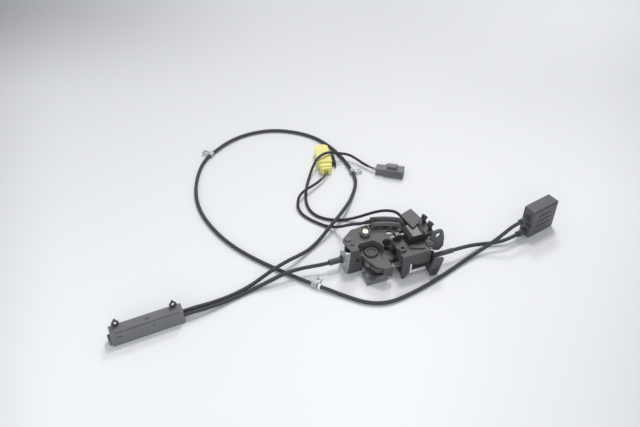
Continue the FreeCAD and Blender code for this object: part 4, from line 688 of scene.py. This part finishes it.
def table_tone(tree, colour):
    """The table's colour with the painted fall of the light and the painted shade at the crease.
    """
    links = tree.links
    place = tree.nodes.new("ShaderNodeTexCoord")
    turned = add_node(tree, "ShaderNodeMapping")
    turned.inputs["Rotation"].default_value = (0.0, 0.0, VIEW_TURN)
    links.new(place.outputs["Object"], turned.inputs["Vector"])
    flat = turned.outputs[0]
    across, away = table_places(tree, flat)
    tones = [smooth_change(tree, away, -1.0, 1.0, 1.0, BACK_TONE),
             smooth_change(tree, across, -SIDE_START, -SIDE_END, 1.0, LEFT_TONE),
             smooth_change(tree, across, SIDE_START, SIDE_END, 1.0, RIGHT_TONE),
             crease_painted_shade(tree, flat)]
    for side, end, tone in CORNER_TONES:
        tones.append(corner_tone(tree, across, away, side, end, tone))
    limit = add_node(tree, "ShaderNodeClamp", Min=DARKEST_TONE, Max=BRIGHTEST_TONE)
    links.new(product_of(tree, tones), limit.inputs["Value"])
    shade = add_node(tree, "ShaderNodeVectorMath", operation="SCALE")
    shade.inputs[0].default_value = colour
    links.new(limit.outputs[0], shade.inputs["Scale"])
    return shade.outputs[0]


def build_table(stage):
    """A large white top, smooth and a little glossy."""
    half = TABLE_HALF
    mesh = bpy.data.meshes.new("table_top")
    corners = [(-half, -half, 0), (half, -half, 0), (half, half, 0), (-half, half, 0)]
    mesh.from_pydata(corners, [], [(0, 1, 2, 3)])
    material = bpy.data.materials.new("table_gloss")
    material.use_nodes = True
    tree = material.node_tree
    shader = tree.nodes["Principled BSDF"]
    shader.inputs["Roughness"].default_value = 0.45
    shader.inputs["Specular IOR Level"].default_value = 0.2
    tree.links.new(table_tone(tree, stage.table_colour), shader.inputs["Base Color"])
    mesh.materials.append(material)
    item = link(bpy.data.objects.new("table_top", mesh))


def add_lamp(name, place, size, colour, power):
    """A rectangular lamp that points at the latch."""
    data = bpy.data.lights.new(name, "AREA")
    data.shape = "RECTANGLE"
    data.size, data.size_y = size
    data.energy = power
    data.color = colour
    item = link(bpy.data.objects.new(name, data))
    item.location = place
    aim = Vector(LAMP_TARGET) - Vector(place)
    item.rotation_euler = aim.to_track_quat("-Z", "Y").to_euler()


def build_lamps(stage):
    for name, place, size, colour, setting in LAMPS:
        add_lamp(name, place, size, colour, getattr(stage, setting))


def build_room(scene, stage):
    world = bpy.data.worlds.new("room")
    world.use_nodes = True
    background = world.node_tree.nodes["Background"]
    background.inputs["Color"].default_value = (0.95, 0.97, 1.0, 1.0)
    background.inputs["Strength"].default_value = stage.sky_strength
    scene.world = world


def build_camera(scene, stage):
    data = bpy.data.cameras.new("main_camera")
    data.lens = stage.lens
    data.sensor_width = 36.0
    data.clip_start = 0.01
    item = link(bpy.data.objects.new("main_camera", data))
    item.location = stage.camera_place
    dip, turn = stage.camera_dip, stage.camera_turn
    item.rotation_euler = (math.pi / 2 - dip, 0.0, -turn)
    scene.camera = item


# Operators

class LATCH_OT_dress(bpy.types.Operator):
    """Gives every CAD piece its material, smooth shading and softened edges"""

    bl_idname = "latch.dress"
    bl_label = "Dress the CAD pieces"

    def execute(self, context):
        materials = slot_materials(context.scene.latch_finish)
        own = piece_materials(context.scene.latch_finish)
        slots = {entry["node"]: entry["material_slot"] for entry in frame["record"]["subparts"]}
        for name, item in frame["nodes"].items():
            slot = slots[name]
            item.data.materials.clear()
            item.data.materials.append(own.get(name, materials[slot]))
            shade_by_angle(item)
            if slot in ROUNDED_SLOTS:
                soften(item)
        return {"FINISHED"}


class LATCH_OT_cords(bpy.types.Operator):
    """Lays the three cables and the two leads along their routes"""

    bl_idname = "latch.cords"
    bl_label = "Lay the cords"

    def execute(self, context):
        finish = slot_materials(context.scene.latch_finish)
        sizes = context.scene.latch_cords
        for name, route, is_cable, far_end, stiffness, pieces in CORDS:
            diameter = sizes.cable_wide if is_cable else sizes.lead_wide
            slot = "cable_sheath" if is_cable else "lead_sheath"
            length = spline_length(route)
            item = lay_cord(name + "_sheath", route, diameter, finish[slot])
            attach(item, "frame")
            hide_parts(name)
        return {"FINISHED"}


class LATCH_OT_stage(bpy.types.Operator):
    """Sets the white table, the lamps, the room light and the camera"""

    bl_idname = "latch.stage"
    bl_label = "Set the stage"

    def execute(self, context):
        stage = context.scene.latch_stage
        build_table(stage)
        build_lamps(stage)
        build_room(context.scene, stage)
        build_camera(context.scene, stage)
        context.scene.view_settings.view_transform = "Standard"
        return {"FINISHED"}


class LATCH_PT_panel(bpy.types.Panel):
    """Settings and steps of the hood latch scene"""

    bl_idname = "LATCH_PT_panel"
    bl_label = "Hood latch"
    bl_space_type = "VIEW_3D"
    bl_region_type = "UI"
    bl_category = "Hood latch"

    def draw(self, context):
        for name, group in SETTINGS:
            box = self.layout.box()
            box.label(text=group.__doc__)
            values = getattr(context.scene, name)
            for key in group.__annotations__:
                box.prop(values, key)
        for operator in OPERATORS:
            self.layout.operator(operator.bl_idname)


OPERATORS = (LATCH_OT_dress, LATCH_OT_cords, LATCH_OT_stage)


def register():
    for name, group in SETTINGS:
        bpy.utils.register_class(group)
        setattr(bpy.types.Scene, name, bpy.props.PointerProperty(type=group))
    for item in (*OPERATORS, LATCH_PT_panel):
        bpy.utils.register_class(item)


def unregister():
    for item in (LATCH_PT_panel, *reversed(OPERATORS)):
        bpy.utils.unregister_class(item)
    for name, group in reversed(SETTINGS):
        delattr(bpy.types.Scene, name)
        bpy.utils.unregister_class(group)


def main():
    register()
    bpy.ops.latch.dress()
    bpy.ops.latch.cords()
    bpy.ops.latch.stage()


if __name__ == "__main__":
    main()
